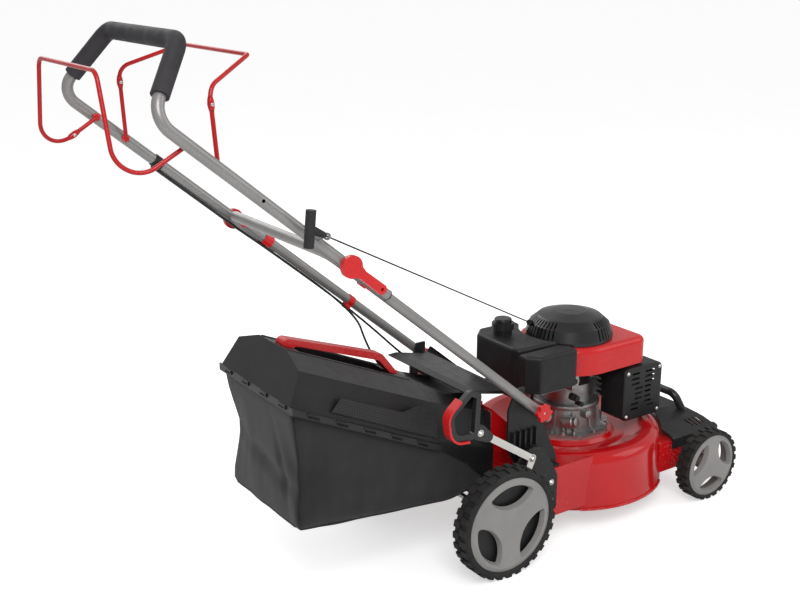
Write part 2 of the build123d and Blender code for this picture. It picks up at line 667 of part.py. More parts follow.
# ---------------------------------------------------------------- engine
housing_z = 346.0          # low edge of the blower housing
housing_r = 122.0
housing_top = 412.0
case_top = 300.0
tank_z = 335.0
tank_top = 432.0
guard_x = (deck_x + 66, deck_x + 196)
guard_y = (-132, -56.3)
guard_z = (206, 341)
guard_mid = ((guard_x[0] + guard_x[1]) / 2, (guard_z[0] + guard_z[1]) / 2)
with BuildPart() as crankcase:
    with BuildSketch(Plane.XY.offset(platform_z)) as flange:
        with Locations((deck_x, 0)):
            RegularPolygon(engine_r + 4, 8, rotation=22.5)
        fillet(flange.vertices(), 18)
    extrude(flange.sketch, amount=flange_t)
    with BuildSketch(Plane.XY.offset(platform_z + flange_t)) as case:
        with Locations((deck_x, 0)):
            Circle(84)
    extrude(case.sketch, amount=60, taper=5)
    upright(deck_x, 0, 66, 240, case_top)
    upright(deck_x, 0, 22, case_top, 370)
    # cylinder to the front, with its cooling fins
    block((deck_x + 40, deck_x + 118), (-40, 50), (250, case_top + 26), 8)
    for level in range(6):
        low = 252 + level * 14
        block((deck_x + 66, deck_x + 130), (-54, 66), (low, low + 5))
    # pads round the flange
    for turn in (45, 135, 225, 315):
        spot = Vector(deck_x, 0) + Vector(80, 0).rotate(Axis.Z, turn)
        block((spot.X - 9, spot.X + 9), (spot.Y - 9, spot.Y + 9), (platform_z, platform_z + 40), 8)
    upright(deck_x, 0, crank_r + running_gap, platform_z - 10, 400, Mode.SUBTRACT)
    # oil filler, exhaust stub, inlet stub and the arm under the tank
    upright(deck_x - 66, 66, 12, platform_z + 5, 262)
    upright(deck_x - 66, 66, 8.05, 240, 263, Mode.SUBTRACT)
    across(guard_mid[0], guard_mid[1], 13, -40, -56)
    across(deck_x - 40, 318, 12, -20, -74)
    block((deck_x - 124, deck_x - 50), (-45, 45), (case_top - 8, case_top))
    block((deck_x - 124, deck_x - 106), (-45, 45), (case_top - 8, tank_z - 4.3))
    block((deck_x - 50, deck_x - 30), (-74, -20), (296, 340))
save(crankcase, "crankcase")


rope_start = Vector(rear_axle_x - 430, -246, 820)
rope_end = Vector(deck_x - 43, 57, 422)
rope_dir = (rope_end - rope_start).normalized()


def housing_plan(inset):
    """Round over the flywheel, drawn out to a nose over the cylinder."""
    with Locations((deck_x, 0)):
        Circle(housing_r - inset)
    with Locations((deck_x + 126, -94), (deck_x + 126, 62)):
        Circle(26 - inset)
    make_hull()


with BuildPart() as blower_housing:
    with BuildSketch(Plane.XY.offset(housing_z)) as outer:
        housing_plan(0)
    extrude(outer.sketch, amount=housing_top - housing_z)
    nose = blower_housing.faces().sort_by(Axis.Z)[-1]
    fillet(nose.edges(), 14)
    with BuildSketch(Plane.XY.offset(housing_z)) as inner:
        housing_plan(3)
    extrude(inner.sketch, amount=housing_top - housing_z - 6, mode=Mode.SUBTRACT)
    # low edge rises over the tank at the rear
    block((deck_x - 150, deck_x - 84), (-140, 140), (housing_z - 5, tank_top - 38), mode=Mode.SUBTRACT)
    upright(deck_x, 0, 96, 380, 430, Mode.SUBTRACT)
    # arms inside, down to the crankcase
    for arm in (-46, 54):
        block((deck_x + 92, deck_x + 108), (arm - 8, arm + 8), (case_top + 27.3, 408))
    for slot in range(5):
        block((deck_x + 90 + slot * 9, deck_x + 94 + slot * 9), (20, 62), (390, 420), mode=Mode.SUBTRACT)
save(blower_housing, "blower_housing")

with BuildPart() as recoil_cover:
    with BuildSketch(Plane.XZ) as half:
        with BuildLine():
            Polyline((0, housing_top + 0.3), (106, housing_top + 0.3), (106, 420), (97, 446), (76, 464),
                     (40, 474), (0, 476), close=True)
        make_face()
    revolve(half.sketch.moved(Location((deck_x, 0, 0))), axis=deck_axis)
    with BuildSketch(Plane.XZ) as hollow:
        with BuildLine():
            Polyline((0, housing_top), (100, housing_top), (100, 420), (93, 442), (73, 460), (40, 469),
                     (0, 471), close=True)
        make_face()
    revolve(hollow.sketch.moved(Location((deck_x, 0, 0))), axis=deck_axis, mode=Mode.SUBTRACT)
    # grille: three banks of slots round the slope
    for bank in (-62, 62, 180):
        for column in range(-4, 5):
            for reach, width in ((87, 14), (101, 12)):
                slot_plane = Plane(origin=(deck_x, 0, housing_top + 8), z_dir=(0, 0, 1)).rotated(
                    (0, 0, bank + column * 6.4))
                with BuildSketch(slot_plane) as grille:
                    with Locations((reach, 0)):
                        Rectangle(width, 4.5)
                extrude(grille.sketch, amount=70, mode=Mode.SUBTRACT)
    # eye the rope comes out of
    bar([rope_end - rope_dir * 50, rope_end - rope_dir * 66], 0, 7)
    bar([rope_end - rope_dir * 20, rope_end - rope_dir * 80], 0, rope_r + 0.6, Mode.SUBTRACT)
save(recoil_cover, "recoil_cover")

with BuildPart() as fuel_tank:
    with BuildSketch(Plane.XY.offset(tank_z)) as plan:
        with BuildLine():
            Polyline((deck_x - 84, -70), (deck_x - 214, -70), (deck_x - 222, -50), (deck_x - 222, 82),
                     (deck_x - 190, 112), (deck_x - 84, 112), close=True)
        make_face()
        fillet(plan.vertices().group_by(Axis.X)[0] + plan.vertices().group_by(Axis.X)[1], 14)
        with Locations((deck_x, 0)):
            Circle(housing_r + 1, mode=Mode.SUBTRACT)
    extrude(plan.sketch, amount=tank_top - tank_z)
    fillet(fuel_tank.faces().sort_by(Axis.Z)[-1].edges(), 8)
    upright(deck_x - 172, 45, 22, tank_top - 1, tank_top + 14)
    upright(deck_x - 172, 45, 18, tank_z + 6, tank_top + 15, Mode.SUBTRACT)
    block((deck_x - 128, deck_x - 96), (-46, 46), (tank_z - 4, tank_z + 60))
    upright(deck_x, 0, housing_r + 1, tank_z - 5, tank_top, Mode.SUBTRACT)
save(fuel_tank, "fuel_tank")

cap_z = tank_top + 14.3
with BuildPart() as fuel_cap:
    upright(deck_x - 172, 45, 27, cap_z, cap_z + 15)
    upright(deck_x - 172, 45, 21, cap_z + 15, cap_z + 26)
    fillet(fuel_cap.faces().sort_by(Axis.Z)[-1].edges(), 4)
    with BuildSketch(Plane.XY.offset(cap_z - 1)) as flutes:
        with Locations((deck_x - 172, 45)):
            with PolarLocations(29, 12):
                Circle(4)
    extrude(flutes.sketch, amount=17, mode=Mode.SUBTRACT)
    upright(deck_x - 172, 45, 17.6, cap_z - 8, cap_z + 1)
save(fuel_cap, "fuel_cap")

with BuildPart() as air_filter:
    with BuildSketch(Plane.XY.offset(tank_z + 1)) as plan:
        with BuildLine():
            Polyline((deck_x - 82, -126), (deck_x - 196, -126), (deck_x - 221, -98), (deck_x - 219, -71.5),
                     (deck_x - 82, -71.5), close=True)
        make_face()
        fillet(plan.vertices().group_by(Axis.Y)[0], 12)
        with Locations((deck_x, 0)):
            Circle(housing_r + 1, mode=Mode.SUBTRACT)
    extrude(plan.sketch, amount=tank_top - tank_z - 8)
    fillet(air_filter.faces().sort_by(Axis.Z)[-1].edges(), 9)
    block((deck_x - 106, deck_x - 82), (-110, -84), (tank_z - 6, tank_z + 30))
    block((deck_x - 100, deck_x - 50.4), (-92, -74.3), (tank_z - 14, tank_z - 4))
    upright(deck_x, 0, housing_r + 1, tank_z + 0, tank_top, Mode.SUBTRACT)
save(air_filter, "air_filter")

with BuildPart() as muffler_guard:
    with BuildSketch(side_plane(guard_y[1])) as shell_outline:
        with Locations(guard_mid):
            RectangleRounded(guard_x[1] - guard_x[0], guard_z[1] - guard_z[0], 16)
    extrude(shell_outline.sketch, amount=guard_y[1] - guard_y[0])
    fillet(muffler_guard.faces().sort_by(Axis.Y)[0].edges(), 5)
    with BuildSketch(side_plane(guard_y[1] + 1)) as hollow:
        with Locations(guard_mid):
            RectangleRounded(guard_x[1] - guard_x[0] - 5, guard_z[1] - guard_z[0] - 5, 13.5)
    extrude(hollow.sketch, amount=guard_y[1] - guard_y[0] - 1.5, mode=Mode.SUBTRACT)
    # slots in the face and over the front corner
    for row in range(8):
        level = guard_z[0] + 26 + row * 13
        long_row = 54 if row in (2, 3, 4) else 78
        block((guard_mid[0] - long_row / 2, guard_mid[0] - long_row / 2 + 26), (guard_y[0] - 2, guard_y[0] + 6),
              (level, level + 5), mode=Mode.SUBTRACT)
        block((guard_mid[0] + 6, guard_mid[0] + long_row / 2), (guard_y[0] - 2, guard_y[0] + 6),
              (level, level + 5), mode=Mode.SUBTRACT)
        block((guard_x[1] - 6, guard_x[1] + 2), (guard_y[0] + 16, guard_y[0] + 44), (level, level + 5),
              mode=Mode.SUBTRACT)
save(muffler_guard, "muffler_guard")

with BuildPart() as muffler:
    across(guard_mid[0], guard_mid[1] - 4, 46, -56.2, -118)
    for sign in (-1, 1):
        across(guard_mid[0], guard_mid[1] - 4 + sign * 50, 5, -60, -129.2)
        block((guard_mid[0] - 5, guard_mid[0] + 5), (-100, -70),
              (guard_mid[1] - 8 + sign * 46, guard_mid[1] + sign * 46))
save(muffler, "muffler")

with BuildPart() as oil_cap:
    upright(deck_x - 66, 66, 15, 262.3, 274)
    upright(deck_x - 66, 66, 8, 245, 264)
    block((deck_x - 69, deck_x - 63), (52, 80), (272, 282), 2)
save(oil_cap, "oil_cap")

with BuildPart() as spark_plug:
    with BuildSketch(Plane.YZ.offset(deck_x + 130.3)) as body:
        with Locations((6, 290)):
            Circle(9)
    extrude(body.sketch, amount=34)
    bar([(deck_x + 158, 6, 290), (deck_x + 158, 20, 312), (deck_x + 132, 58, 336), (deck_x + 112, 60, 352)],
        [12, 14], 4)
save(spark_plug, "spark_plug")

# ---------------------------------------------------------------- handles
knob_d = 30.0              # star knob up the leg from its lower end
cam_d = 676.0              # cam lever bolt
cross_d = 705.0            # crossbar of the lower handle
upper_start = 560.0
upper_end = 1146.0
grip_corner = Vector(rear_axle_x - 659, 158, 1169)
leg_bend = 42.0            # bend at the top of a leg
grip_bend = 30.0           # bend at each end of the grip bar
foam_share = 0.28          # the foam starts this far along the slanted run
bolt_r = 4.0
knob_x, knob_y, knob_z = on_leg(knob_d, lower_y)
cam_x, cam_y, cam_z = on_leg(cam_d, lower_y)
drive_pivot = on_leg(1063)
brake_pivot = on_leg(990)

with BuildPart() as lower_handle:
    half_route = [on_leg(-14, -lower_y), on_leg(cross_d, -lower_y)]
    tube(half_route + mirrored(half_route), 22, tube_r, tube_wall)
    across(knob_x, knob_z, bolt_r + running_gap, 230, -230, Mode.SUBTRACT)
    across(cam_x, cam_z, bolt_r + running_gap, 230, -230, Mode.SUBTRACT)
save(lower_handle, "lower_handle")

with BuildPart() as upper_handle:
    half_route = [on_leg(upper_start, -upper_y), on_leg(upper_end, -upper_y),
                  (grip_corner.X, -grip_corner.Y, grip_corner.Z)]
    tube(half_route + mirrored(half_route), [leg_bend, grip_bend, grip_bend, leg_bend], tube_r, tube_wall)
    across(cam_x, cam_z, bolt_r + running_gap, 240, -240, Mode.SUBTRACT)
    for pivot in (drive_pivot, brake_pivot):
        across(pivot[0], pivot[2], 4.05, upper_y - 2, -upper_y + 2, Mode.SUBTRACT)
    spare = on_leg(900)
    across(spare[0], spare[2], 3.5, -upper_y - 2, -upper_y - 20, Mode.SUBTRACT)
    # wire eye for the starter rope, welded to the right leg
    ring_centre = rope_start - rope_dir * 4
    with BuildSketch(Plane(origin=ring_centre, z_dir=rope_dir)) as wire_ring:
        Circle(7)
        Circle(3.4, mode=Mode.SUBTRACT)
    extrude(wire_ring.sketch, amount=4)
    eye_d = -(ring_centre - Vector(*on_leg(0))).dot(leg)
    bar([ring_centre + Vector(0, 5, 0), Vector(*on_leg(eye_d, 1.5 - upper_y - tube_r))], 0, 2)
save(upper_handle, "upper_handle")

bend = Vector(*on_leg(upper_end, -upper_y))
foam_start = bend + (Vector(grip_corner.X, -grip_corner.Y, grip_corner.Z) - bend) * foam_share
with BuildPart() as grip_foam:
    half_route = [(foam_start.X, foam_start.Y, foam_start.Z), (grip_corner.X, -grip_corner.Y, grip_corner.Z)]
    tube(half_route + mirrored(half_route), grip_bend, 16.5, 5.3)
save(grip_foam, "grip_foam")

for side_name, side in SIDES:
    y_left = 246.0 if side > 0 else -236.0
    with BuildPart() as cam_lever:
        tail = Vector(cam_x, cam_z) + Vector(leg.X, leg.Z) * 84
        with BuildSketch(side_plane(y_left)) as outline:
            with Locations((cam_x, cam_z)):
                Circle(22)
            with Locations((tail.X, tail.Y)):
                Circle(10)
            with BuildLine():
                Polyline(
                    (cam_x + leg.X * 12 + leg_up.X * 14, cam_z + leg.Z * 12 + leg_up.Z * 14),
                    (cam_x + leg.X * 30 + leg_up.X * 9, cam_z + leg.Z * 30 + leg_up.Z * 9),
                    (tail.X + leg_up.X * 10, tail.Y + leg_up.Z * 10),
                    (tail.X - leg_up.X * 10, tail.Y - leg_up.Z * 10),
                    (cam_x + leg.X * 30 - leg_up.X * 9, cam_z + leg.Z * 30 - leg_up.Z * 9),
                    (cam_x + leg.X * 12 - leg_up.X * 14, cam_z + leg.Z * 12 - leg_up.Z * 14),
                    close=True,
                )
            make_face()
            with Locations((tail.X, tail.Y)):
                Circle(3.5, mode=Mode.SUBTRACT)
        extrude(outline.sketch, amount=10)
        across(cam_x, cam_z, bolt_r, max(side * 240, side * 186), min(side * 240, side * 186))
        across(cam_x, cam_z, 9, max(side * 189.5, side * 184.5), min(side * 189.5, side * 184.5))
    save(cam_lever, f"{side_name}_cam_lever")

def cord_radii(points):
    """Radius at each bend: as large as the two runs beside it allow."""
    spots = [Vector(*point) for point in points]
    radii = []
    for before, here, after in zip(spots, spots[1:], spots[2:]):
        turn = (here - before).get_angle(after - here)
        shorter = min((here - before).length, (after - here).length)
        radii.append(0.45 * shorter / tan(radians(turn) / 2))
    return radii


def at(x, y, z):
    """Point given from the rear axle."""
    return (rear_axle_x + x, y, z)


drive_route = [
    on_leg(905, 220, -13.6), on_leg(735, 220, -14), on_leg(668, 206, -16), on_leg(600, 197, -14.4),
    on_leg(300, 197, -14.2), at(-76, 182, 425), at(-52, 168, 376), at(-20, 167, 322),
    at(16, 167, 262), at(41, 164, 210), at(50, 148, 176), at(50.6, 112, 163), at(49.4, 76, 160), at(48, 40.4, 160),
]
brake_route = [
    on_leg(905, 228, -13.6), on_leg(735, 228, -14), on_leg(668, 214, -16), on_leg(600, 205, -14.4),
    on_leg(300, 205, -14.2), at(84, 203, 327), at(164, 194, 296), at(198, 168, 284),
    at(236, 132, 286), at(268, 96, 292),
    at(294, 68, 296), at(300, 46.2, 296),
]

with BuildPart() as tube_clips:
    for side in (-1, 1):
        bar([on_leg(612, side * lower_y), on_leg(590, side * lower_y)], 0, 15)
        bar([on_leg(620, side * lower_y), on_leg(580, side * lower_y)], 0, tube_r + 0.2, Mode.SUBTRACT)
        low, high = sorted((side * 212.6, side * 222))
        block((cam_x - 60, cam_x + 120), (low, high), (600, 800), mode=Mode.SUBTRACT)
        bar([on_leg(625, side * lower_y, -18), on_leg(575, side * lower_y, -18)], 0, 10.5, Mode.SUBTRACT)
    for clip_d in (336,):
        bar([on_leg(clip_d, lower_y), on_leg(clip_d - 16, lower_y)], 0, 13)
        bar([on_leg(clip_d, lower_y, -14), on_leg(clip_d - 16, lower_y, -14)], 0, 8)
        bar([on_leg(clip_d + 5, lower_y), on_leg(clip_d - 20, lower_y)], 0, tube_r + 0.2, Mode.SUBTRACT)
        for route in (drive_route, brake_route):
            bar(route, cord_radii(route), cable_r + 0.2, Mode.SUBTRACT)
save(tube_clips, "tube_clips")

for side_name, side in SIDES:
    with BuildPart() as star_knob:
        knob_plane = wheel_plane(knob_x, knob_z, 232, side)
        with BuildSketch(knob_plane) as star:
            Circle(16)
            with PolarLocations(15, 6):
                Circle(5.5)
        extrude(star.sketch, amount=11)
        with BuildSketch(knob_plane) as hub_disc:
            Circle(10)
        extrude(hub_disc.sketch, amount=19.3)
        with BuildSketch(knob_plane) as bore:
            Circle(bolt_r + running_gap)
        extrude(bore.sketch, amount=20, mode=Mode.SUBTRACT)
    save(star_knob, f"{side_name}_star_knob")

panel_in = 184.0
foot_start = 9.0           # the foot starts clear of the swing of the rear arm
with BuildPart() as handle_supports:
    for side in (-1, 1):
        panel_left = 189.3 if side > 0 else -panel_in
        outline = [
            (rear_axle_x + 52, 262), (rear_axle_x + 92, deck_top_z + 0.2), (rear_axle_x + 196, deck_top_z + 0.2),
            (rear_axle_x + 196, 214), (rear_axle_x + 152, 300), (rear_axle_x + 148, 326),
            (rear_axle_x + 96, 372), (rear_axle_x + 96, 398), (rear_axle_x + 72, 398), (rear_axle_x + 52, 350),
        ]
        plate(outline, panel_left, panel_left - 5.3)
        for rib in range(5):
            rib_x = rear_axle_x + 62 + rib * 16
            low, high = sorted((side * 189, side * 198))
            block((rib_x, rib_x + 4), (low, high), (256, 298))
        low, high = sorted((side * 175, side * 204))
        block((tail_wall_x + foot_start, rear_axle_x + 196), (low, high), (deck_top_z + 0.2, deck_top_z + 5), 4)
        across(knob_x, knob_z, bolt_r + running_gap, panel_left + 9, panel_left - 9, Mode.SUBTRACT)
save(handle_supports, "handle_supports")

with BuildPart() as handle_bolts:
    for side in (-1, 1):
        across(knob_x, knob_z, bolt_r, max(side * 230, side * 180), min(side * 230, side * 180))
        across(knob_x, knob_z, 8, max(side * 183.7, side * 178), min(side * 183.7, side * 178))
save(handle_bolts, "handle_bolts")

# ---------------------------------------------------------------- bails
bail_r = 4.0
bail_y = 207.0


def bail_rod(pivot, corners, radii):
    """One bent rod: a pin in each tube wall, two legs and the crossbar the hand holds."""
    half_route = [(pivot[0], -upper_y + 5, pivot[2]), (pivot[0], -bail_y, pivot[2])]
    half_route += [(rear_axle_x + x, -y, z) for x, y, z in corners]
    bar(half_route + mirrored(half_route), radii + radii[::-1], bail_r)


with BuildPart() as drive_bail:
    bail_rod(drive_pivot, [(-795, 198, 932), (-799, 144, 1126)], [5, 46, 24])
save(drive_bail, "drive_bail")

with BuildPart() as brake_bail:
    bail_rod(brake_pivot, [(-628, 202, 1094), (-521, 138, 1138)], [5, 30, 10])
save(brake_bail, "brake_bail")

# ---------------------------------------------------------------- starter rope, grip and guide
with BuildPart() as starter_rope:
    bar([rope_start - rope_dir * 34, rope_end], 0, rope_r)
save(starter_rope, "starter_rope")

grip_middle = rope_start - rope_dir * 56
grip_axis = Vector(0.1, 0, 1).normalized()
with BuildPart() as starter_grip:
    bar([grip_middle - grip_axis * 34, grip_middle + grip_axis * 34], 0, 9.5)
    with BuildSketch(Plane(origin=grip_middle, z_dir=rope_dir)) as stem:
        Circle(9)
    extrude(stem.sketch, amount=42, taper=4)
    bar([grip_middle + rope_dir * 16, grip_middle + rope_dir * 60], 0, rope_r + 0.3, Mode.SUBTRACT)
save(starter_grip, "starter_grip")


# ---------------------------------------------------------------- grass bag
bag_rear = rear_axle_x - 465
lid_front = rear_axle_x - 105
rim_rear_z = 452.0
rim_slope = -0.466
bag_half = 148.0
mouth_x = rear_axle_x + 43.7
lid_rear_z = 568.0         # roof of the lid, carried on to its rear end
lid_slope = -0.43
lid_wall = 3.0
flange_out = 11.0          # the rim flange stands out from the bag
flange_h = 14.0
roof_flat = 58.0           # half width of the flat top
roof_knee = (128.0, -26.0)  # corner of the leaning sides, below the flat top
roof_foot = (150.0, -106.0)


def rim_at(x):
    return rim_rear_z + (x - bag_rear) * rim_slope


def lid_at(x):
    return lid_rear_z + (x - bag_rear) * lid_slope


def under_roof(outline, start, level, slope, inset):
    """Solid with this side outline under a falling roof with leaning sides."""
    half = [(roof_foot[0] - inset, -300), (roof_foot[0] - inset, roof_foot[1]),
            (roof_knee[0] - inset, roof_knee[1] - inset), (roof_flat - inset / 2, -inset)]
    with BuildPart() as body:
        with BuildSketch(Plane.YZ.offset(start)) as section:
            with BuildLine():
                Polyline(*[(y, level + z) for y, z in half], *[(-y, level + z) for y, z in reversed(half)],
                         close=True)
            make_face()
        extrude(section.sketch, amount=560, dir=Vector(1, 0, slope).normalized())
        plate(outline, 200, -200, mode=Mode.INTERSECT)
    return body.part


lean = 44.0                # the rear wall of the lid leans in over this length
lid_start = bag_rear - 10
lid_outer = under_roof(
    [(bag_rear + 1, rim_at(bag_rear + 1)), (bag_rear + 1, rim_at(bag_rear) + flange_h),
     (bag_rear + 1 + lean, lid_at(bag_rear + 1 + lean)), (lid_front, lid_at(lid_front)),
     (lid_front, rim_at(lid_front))], lid_start, lid_at(lid_start), lid_slope, 0)
lid_inner = under_roof(
    [(bag_rear + 1 + lid_wall, rim_at(bag_rear) - 8), (bag_rear + 1 + lid_wall, rim_at(bag_rear) + flange_h - 1),
     (bag_rear + 3 + lean, lid_at(bag_rear + 3 + lean) - lid_wall), (lid_front + 5, lid_at(lid_front + 5) - lid_wall),
     (lid_front + 5, rim_at(lid_front + 5) - 8)], lid_start, lid_at(lid_start), lid_slope, lid_wall)
with BuildPart() as bag_lid:
    add(lid_outer)
    add(lid_inner, mode=Mode.SUBTRACT)
    for sign in (-1, 1):
        left, right = sorted((sign * (bag_half + flange_out), sign * (roof_foot[0] - lid_wall)), reverse=True)
        plate([(bag_rear, rim_at(bag_rear)), (bag_rear, rim_at(bag_rear) + flange_h),
               (lid_front, rim_at(lid_front) + flange_h), (lid_front, rim_at(lid_front))], left, right)
    block((bag_rear, bag_rear + 4), (-bag_half - flange_out, bag_half + flange_out),
          (rim_at(bag_rear + 4), rim_at(bag_rear) + flange_h))
    # trough in the top for the fingers under the carrying handle
    for inset, mode in ((0, Mode.ADD), (lid_wall, Mode.SUBTRACT)):
        start = bag_rear + 84 + inset
        with BuildSketch(Plane.YZ.offset(start)) as trough:
            with Locations((0, lid_at(start) - 13 + inset)):
                Rectangle(96 - 2 * inset, 26)
        extrude(trough.sketch, amount=(240 - 2 * inset) * sqrt(1 + lid_slope ** 2),
                dir=Vector(1, 0, lid_slope).normalized(), mode=mode)
save(bag_lid, "bag_lid")

grip_rear = bag_rear + 61
grip_front = lid_front - 12
with BuildPart() as bag_handle:
    with BuildSketch(side_plane(15)) as arch:
        with BuildLine():
            FilletPolyline(
                (grip_rear, lid_at(grip_rear) + 0.3), (grip_rear + 2, lid_at(grip_rear) + 16),
                (grip_front - 44, lid_at(grip_front) + 57), (grip_front, lid_at(grip_front) + 0.5),
                (grip_front - 26, lid_at(grip_front - 26) + 0.5), (grip_front - 52, lid_at(grip_front) + 43.5),
                (grip_rear + 32, lid_at(grip_rear + 32) + 6), (grip_rear + 24, lid_at(grip_rear + 24) + 0.3),
                radius=[0.1, 12, 14, 2, 3, 6, 3, 1], close=True)
        make_face()
    extrude(arch.sketch, amount=30)
save(bag_handle, "bag_handle")

frame_half = 150.0
rim_front_z = rim_at(lid_front)
hood_start = lid_front + 0.4
hood_rear_z = lid_at(hood_start)
hood_bend = (rear_axle_x - 45, 380)
mouth_top = 356.0
hood_slope = (mouth_top - hood_rear_z) / (mouth_x - hood_start)
hood_outer = under_roof(
    [(hood_start, hood_rear_z), hood_bend, (mouth_x, mouth_top), (mouth_x, 178), (mouth_x - 16, 178),
     (rear_axle_x - 30, 236), (hood_start, rim_front_z + 2)], hood_start - 20, hood_rear_z - 20 * hood_slope,
    hood_slope, 0)
hood_inner = under_roof(
    [(hood_start - 5, hood_rear_z - 2), (hood_bend[0] - 1, hood_bend[1] - 3.5), (mouth_x - 6, mouth_top - 3),
     (mouth_x - 6, 160), (hood_start - 5, 160)], hood_start - 20, hood_rear_z - 20 * hood_slope, hood_slope, 3)
with BuildPart() as bag_frame:
    add(hood_outer)
    add(hood_inner, mode=Mode.SUBTRACT)
    block((mouth_x - 14, mouth_x), (-frame_half, frame_half), (178, mouth_top - 84))
    block((mouth_x - 14, mouth_x), (-138, 138), (mouth_top - 90, mouth_top - 22))
    block((mouth_x - 20, mouth_x + 2), (-130, 130), (191, 328), mode=Mode.SUBTRACT)
    # two hooks that hang over the flap rod
    for sign in (-1, 1):
        plate([(mouth_x - 12, mouth_top - 6), (mouth_x - 12, mouth_top + 4), (mouth_x + 4, mouth_top + 4),
               (mouth_x + 4, mouth_top - 6)], sign * 90 + 8, sign * 90 - 8)
save(bag_frame, "bag_frame")

with BuildPart() as bag_body:
    cloth = [
        (bag_rear + 5, rim_rear_z + 8), (bag_rear + 12, 192), (rear_axle_x - 70, 152), (rear_axle_x + 10, 172),
        (mouth_x - 16, 190.3), (mouth_x - 16.4, 195), (rear_axle_x - 32, 240), (lid_front - 6, rim_front_z + 11),
    ]
    cloth_inner = [
        (bag_rear + 8, rim_rear_z + 20), (bag_rear + 15, 195), (rear_axle_x - 70, 155), (rear_axle_x + 9, 175),
        (mouth_x - 10, 191), (mouth_x - 10, 300), (lid_front - 6, rim_front_z + 30),
    ]
    plate(cloth, bag_half - 1.5, -bag_half + 1.5)
    plate(cloth_inner, bag_half - 4, -bag_half + 4, mode=Mode.SUBTRACT)
save(bag_body, "bag_body")

# ---------------------------------------------------------------- discharge flap
hinge_x = rear_axle_x + 84.0
hinge_z = 374.0
flap_half = 150.0
with BuildPart() as discharge_flap:
    across(hinge_x, hinge_z, 4, 183, -183)
    across(hinge_x, hinge_z, 7, 168, -168)
    plate([(hinge_x, hinge_z + 1), (hinge_x, hinge_z + 6), (rear_axle_x - 14, 402), (rear_axle_x - 36, 401),
           (rear_axle_x - 36, 398.5), (rear_axle_x - 14, 399)], flap_half, -flap_half)
    for sign in (-1, 1):
        left, right = sorted((sign * flap_half, sign * (flap_half - 5)), reverse=True)
        plate([(hinge_x, hinge_z - 2), (hinge_x, hinge_z + 6), (rear_axle_x - 14, 402),
               (rear_axle_x - 32, 401), (rear_axle_x - 14, 394)], left, right)
save(discharge_flap, "discharge_flap")

# ---------------------------------------------------------------- front cover and bar
with BuildPart() as front_cover:
    for inset, mode in ((0, Mode.ADD), (3, Mode.SUBTRACT)):
        with BuildSketch(Plane.YZ.offset(deck_x + 170 - inset)) as arch:
            with BuildLine():
                Polyline(
                    (-206 + inset, 138 - inset), (-206 + inset, 163 - inset), (-196, 170 - inset),
                    (-150, 181 - inset), (-90, 190 - inset), (90, 190 - inset), (150, 181 - inset),
                    (196, 170 - inset), (206 - inset, 163 - inset), (206 - inset, 138 - inset), close=True)
            make_face()
        extrude(arch.sketch, amount=apron_front + 4 - deck_x - 170, mode=mode)
    block((apron_front - 6, apron_front + 12), (-195, 195), (apron_top - 10, 200), 4, Mode.SUBTRACT)
    with BuildSketch(side_plane(220)) as nose_cut:
        with BuildLine():
            Polyline((apron_front - 26, 200), (apron_front + 10, 200), (apron_front + 10, apron_top + 1), close=True)
        make_face()
    extrude(nose_cut.sketch, amount=440, mode=Mode.SUBTRACT)
    upright(deck_x, 0, deck_r - 3, 100, 220, Mode.SUBTRACT)
    for sign in (-1, 1):
        bar([(foot.X, sign * foot.Y, foot.Z), (bar_top.X, sign * bar_top.Y, bar_top.Z)], 0, 10.6, Mode.SUBTRACT)
        for slot in range(4):
            slot_x = deck_x + 256 + slot * 13
            low, high = sorted((sign * 158, sign * 190))
            block((slot_x, slot_x + 5), (low, high), (168, 190), mode=Mode.SUBTRACT)
save(front_cover, "front_cover")

with BuildPart() as front_bar:
    half_route = [(foot.X, -foot.Y, foot.Z), (bar_top.X, -bar_top.Y, bar_top.Z)]
    bar(half_route + mirrored(half_route), 24, 10)
save(front_bar, "front_bar")

# ---------------------------------------------------------------- cables
for name, route in (("drive_cable", drive_route), ("brake_cable", brake_route)):
    radii = cord_radii(route)
    print(name, "radii", [round(radius) for radius in radii])
    with BuildPart() as cable:
        bar(route, radii, cable_r)
    save(cable, name)
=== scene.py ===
import bpy
import bmesh
from math import cos, exp, pi, radians, sin
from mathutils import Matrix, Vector, noise


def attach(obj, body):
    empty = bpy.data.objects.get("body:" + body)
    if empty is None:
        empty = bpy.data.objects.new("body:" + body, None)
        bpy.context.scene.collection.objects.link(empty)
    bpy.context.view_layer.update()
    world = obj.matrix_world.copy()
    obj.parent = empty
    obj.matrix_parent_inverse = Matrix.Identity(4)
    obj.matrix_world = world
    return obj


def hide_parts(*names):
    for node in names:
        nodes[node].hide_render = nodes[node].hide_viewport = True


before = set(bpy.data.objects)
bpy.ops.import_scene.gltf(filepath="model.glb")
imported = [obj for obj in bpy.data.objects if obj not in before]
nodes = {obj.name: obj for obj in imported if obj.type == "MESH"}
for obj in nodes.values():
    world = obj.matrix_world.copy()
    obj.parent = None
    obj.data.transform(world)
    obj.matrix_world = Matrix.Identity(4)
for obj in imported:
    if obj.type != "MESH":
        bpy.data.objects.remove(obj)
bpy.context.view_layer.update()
MM = 0.001

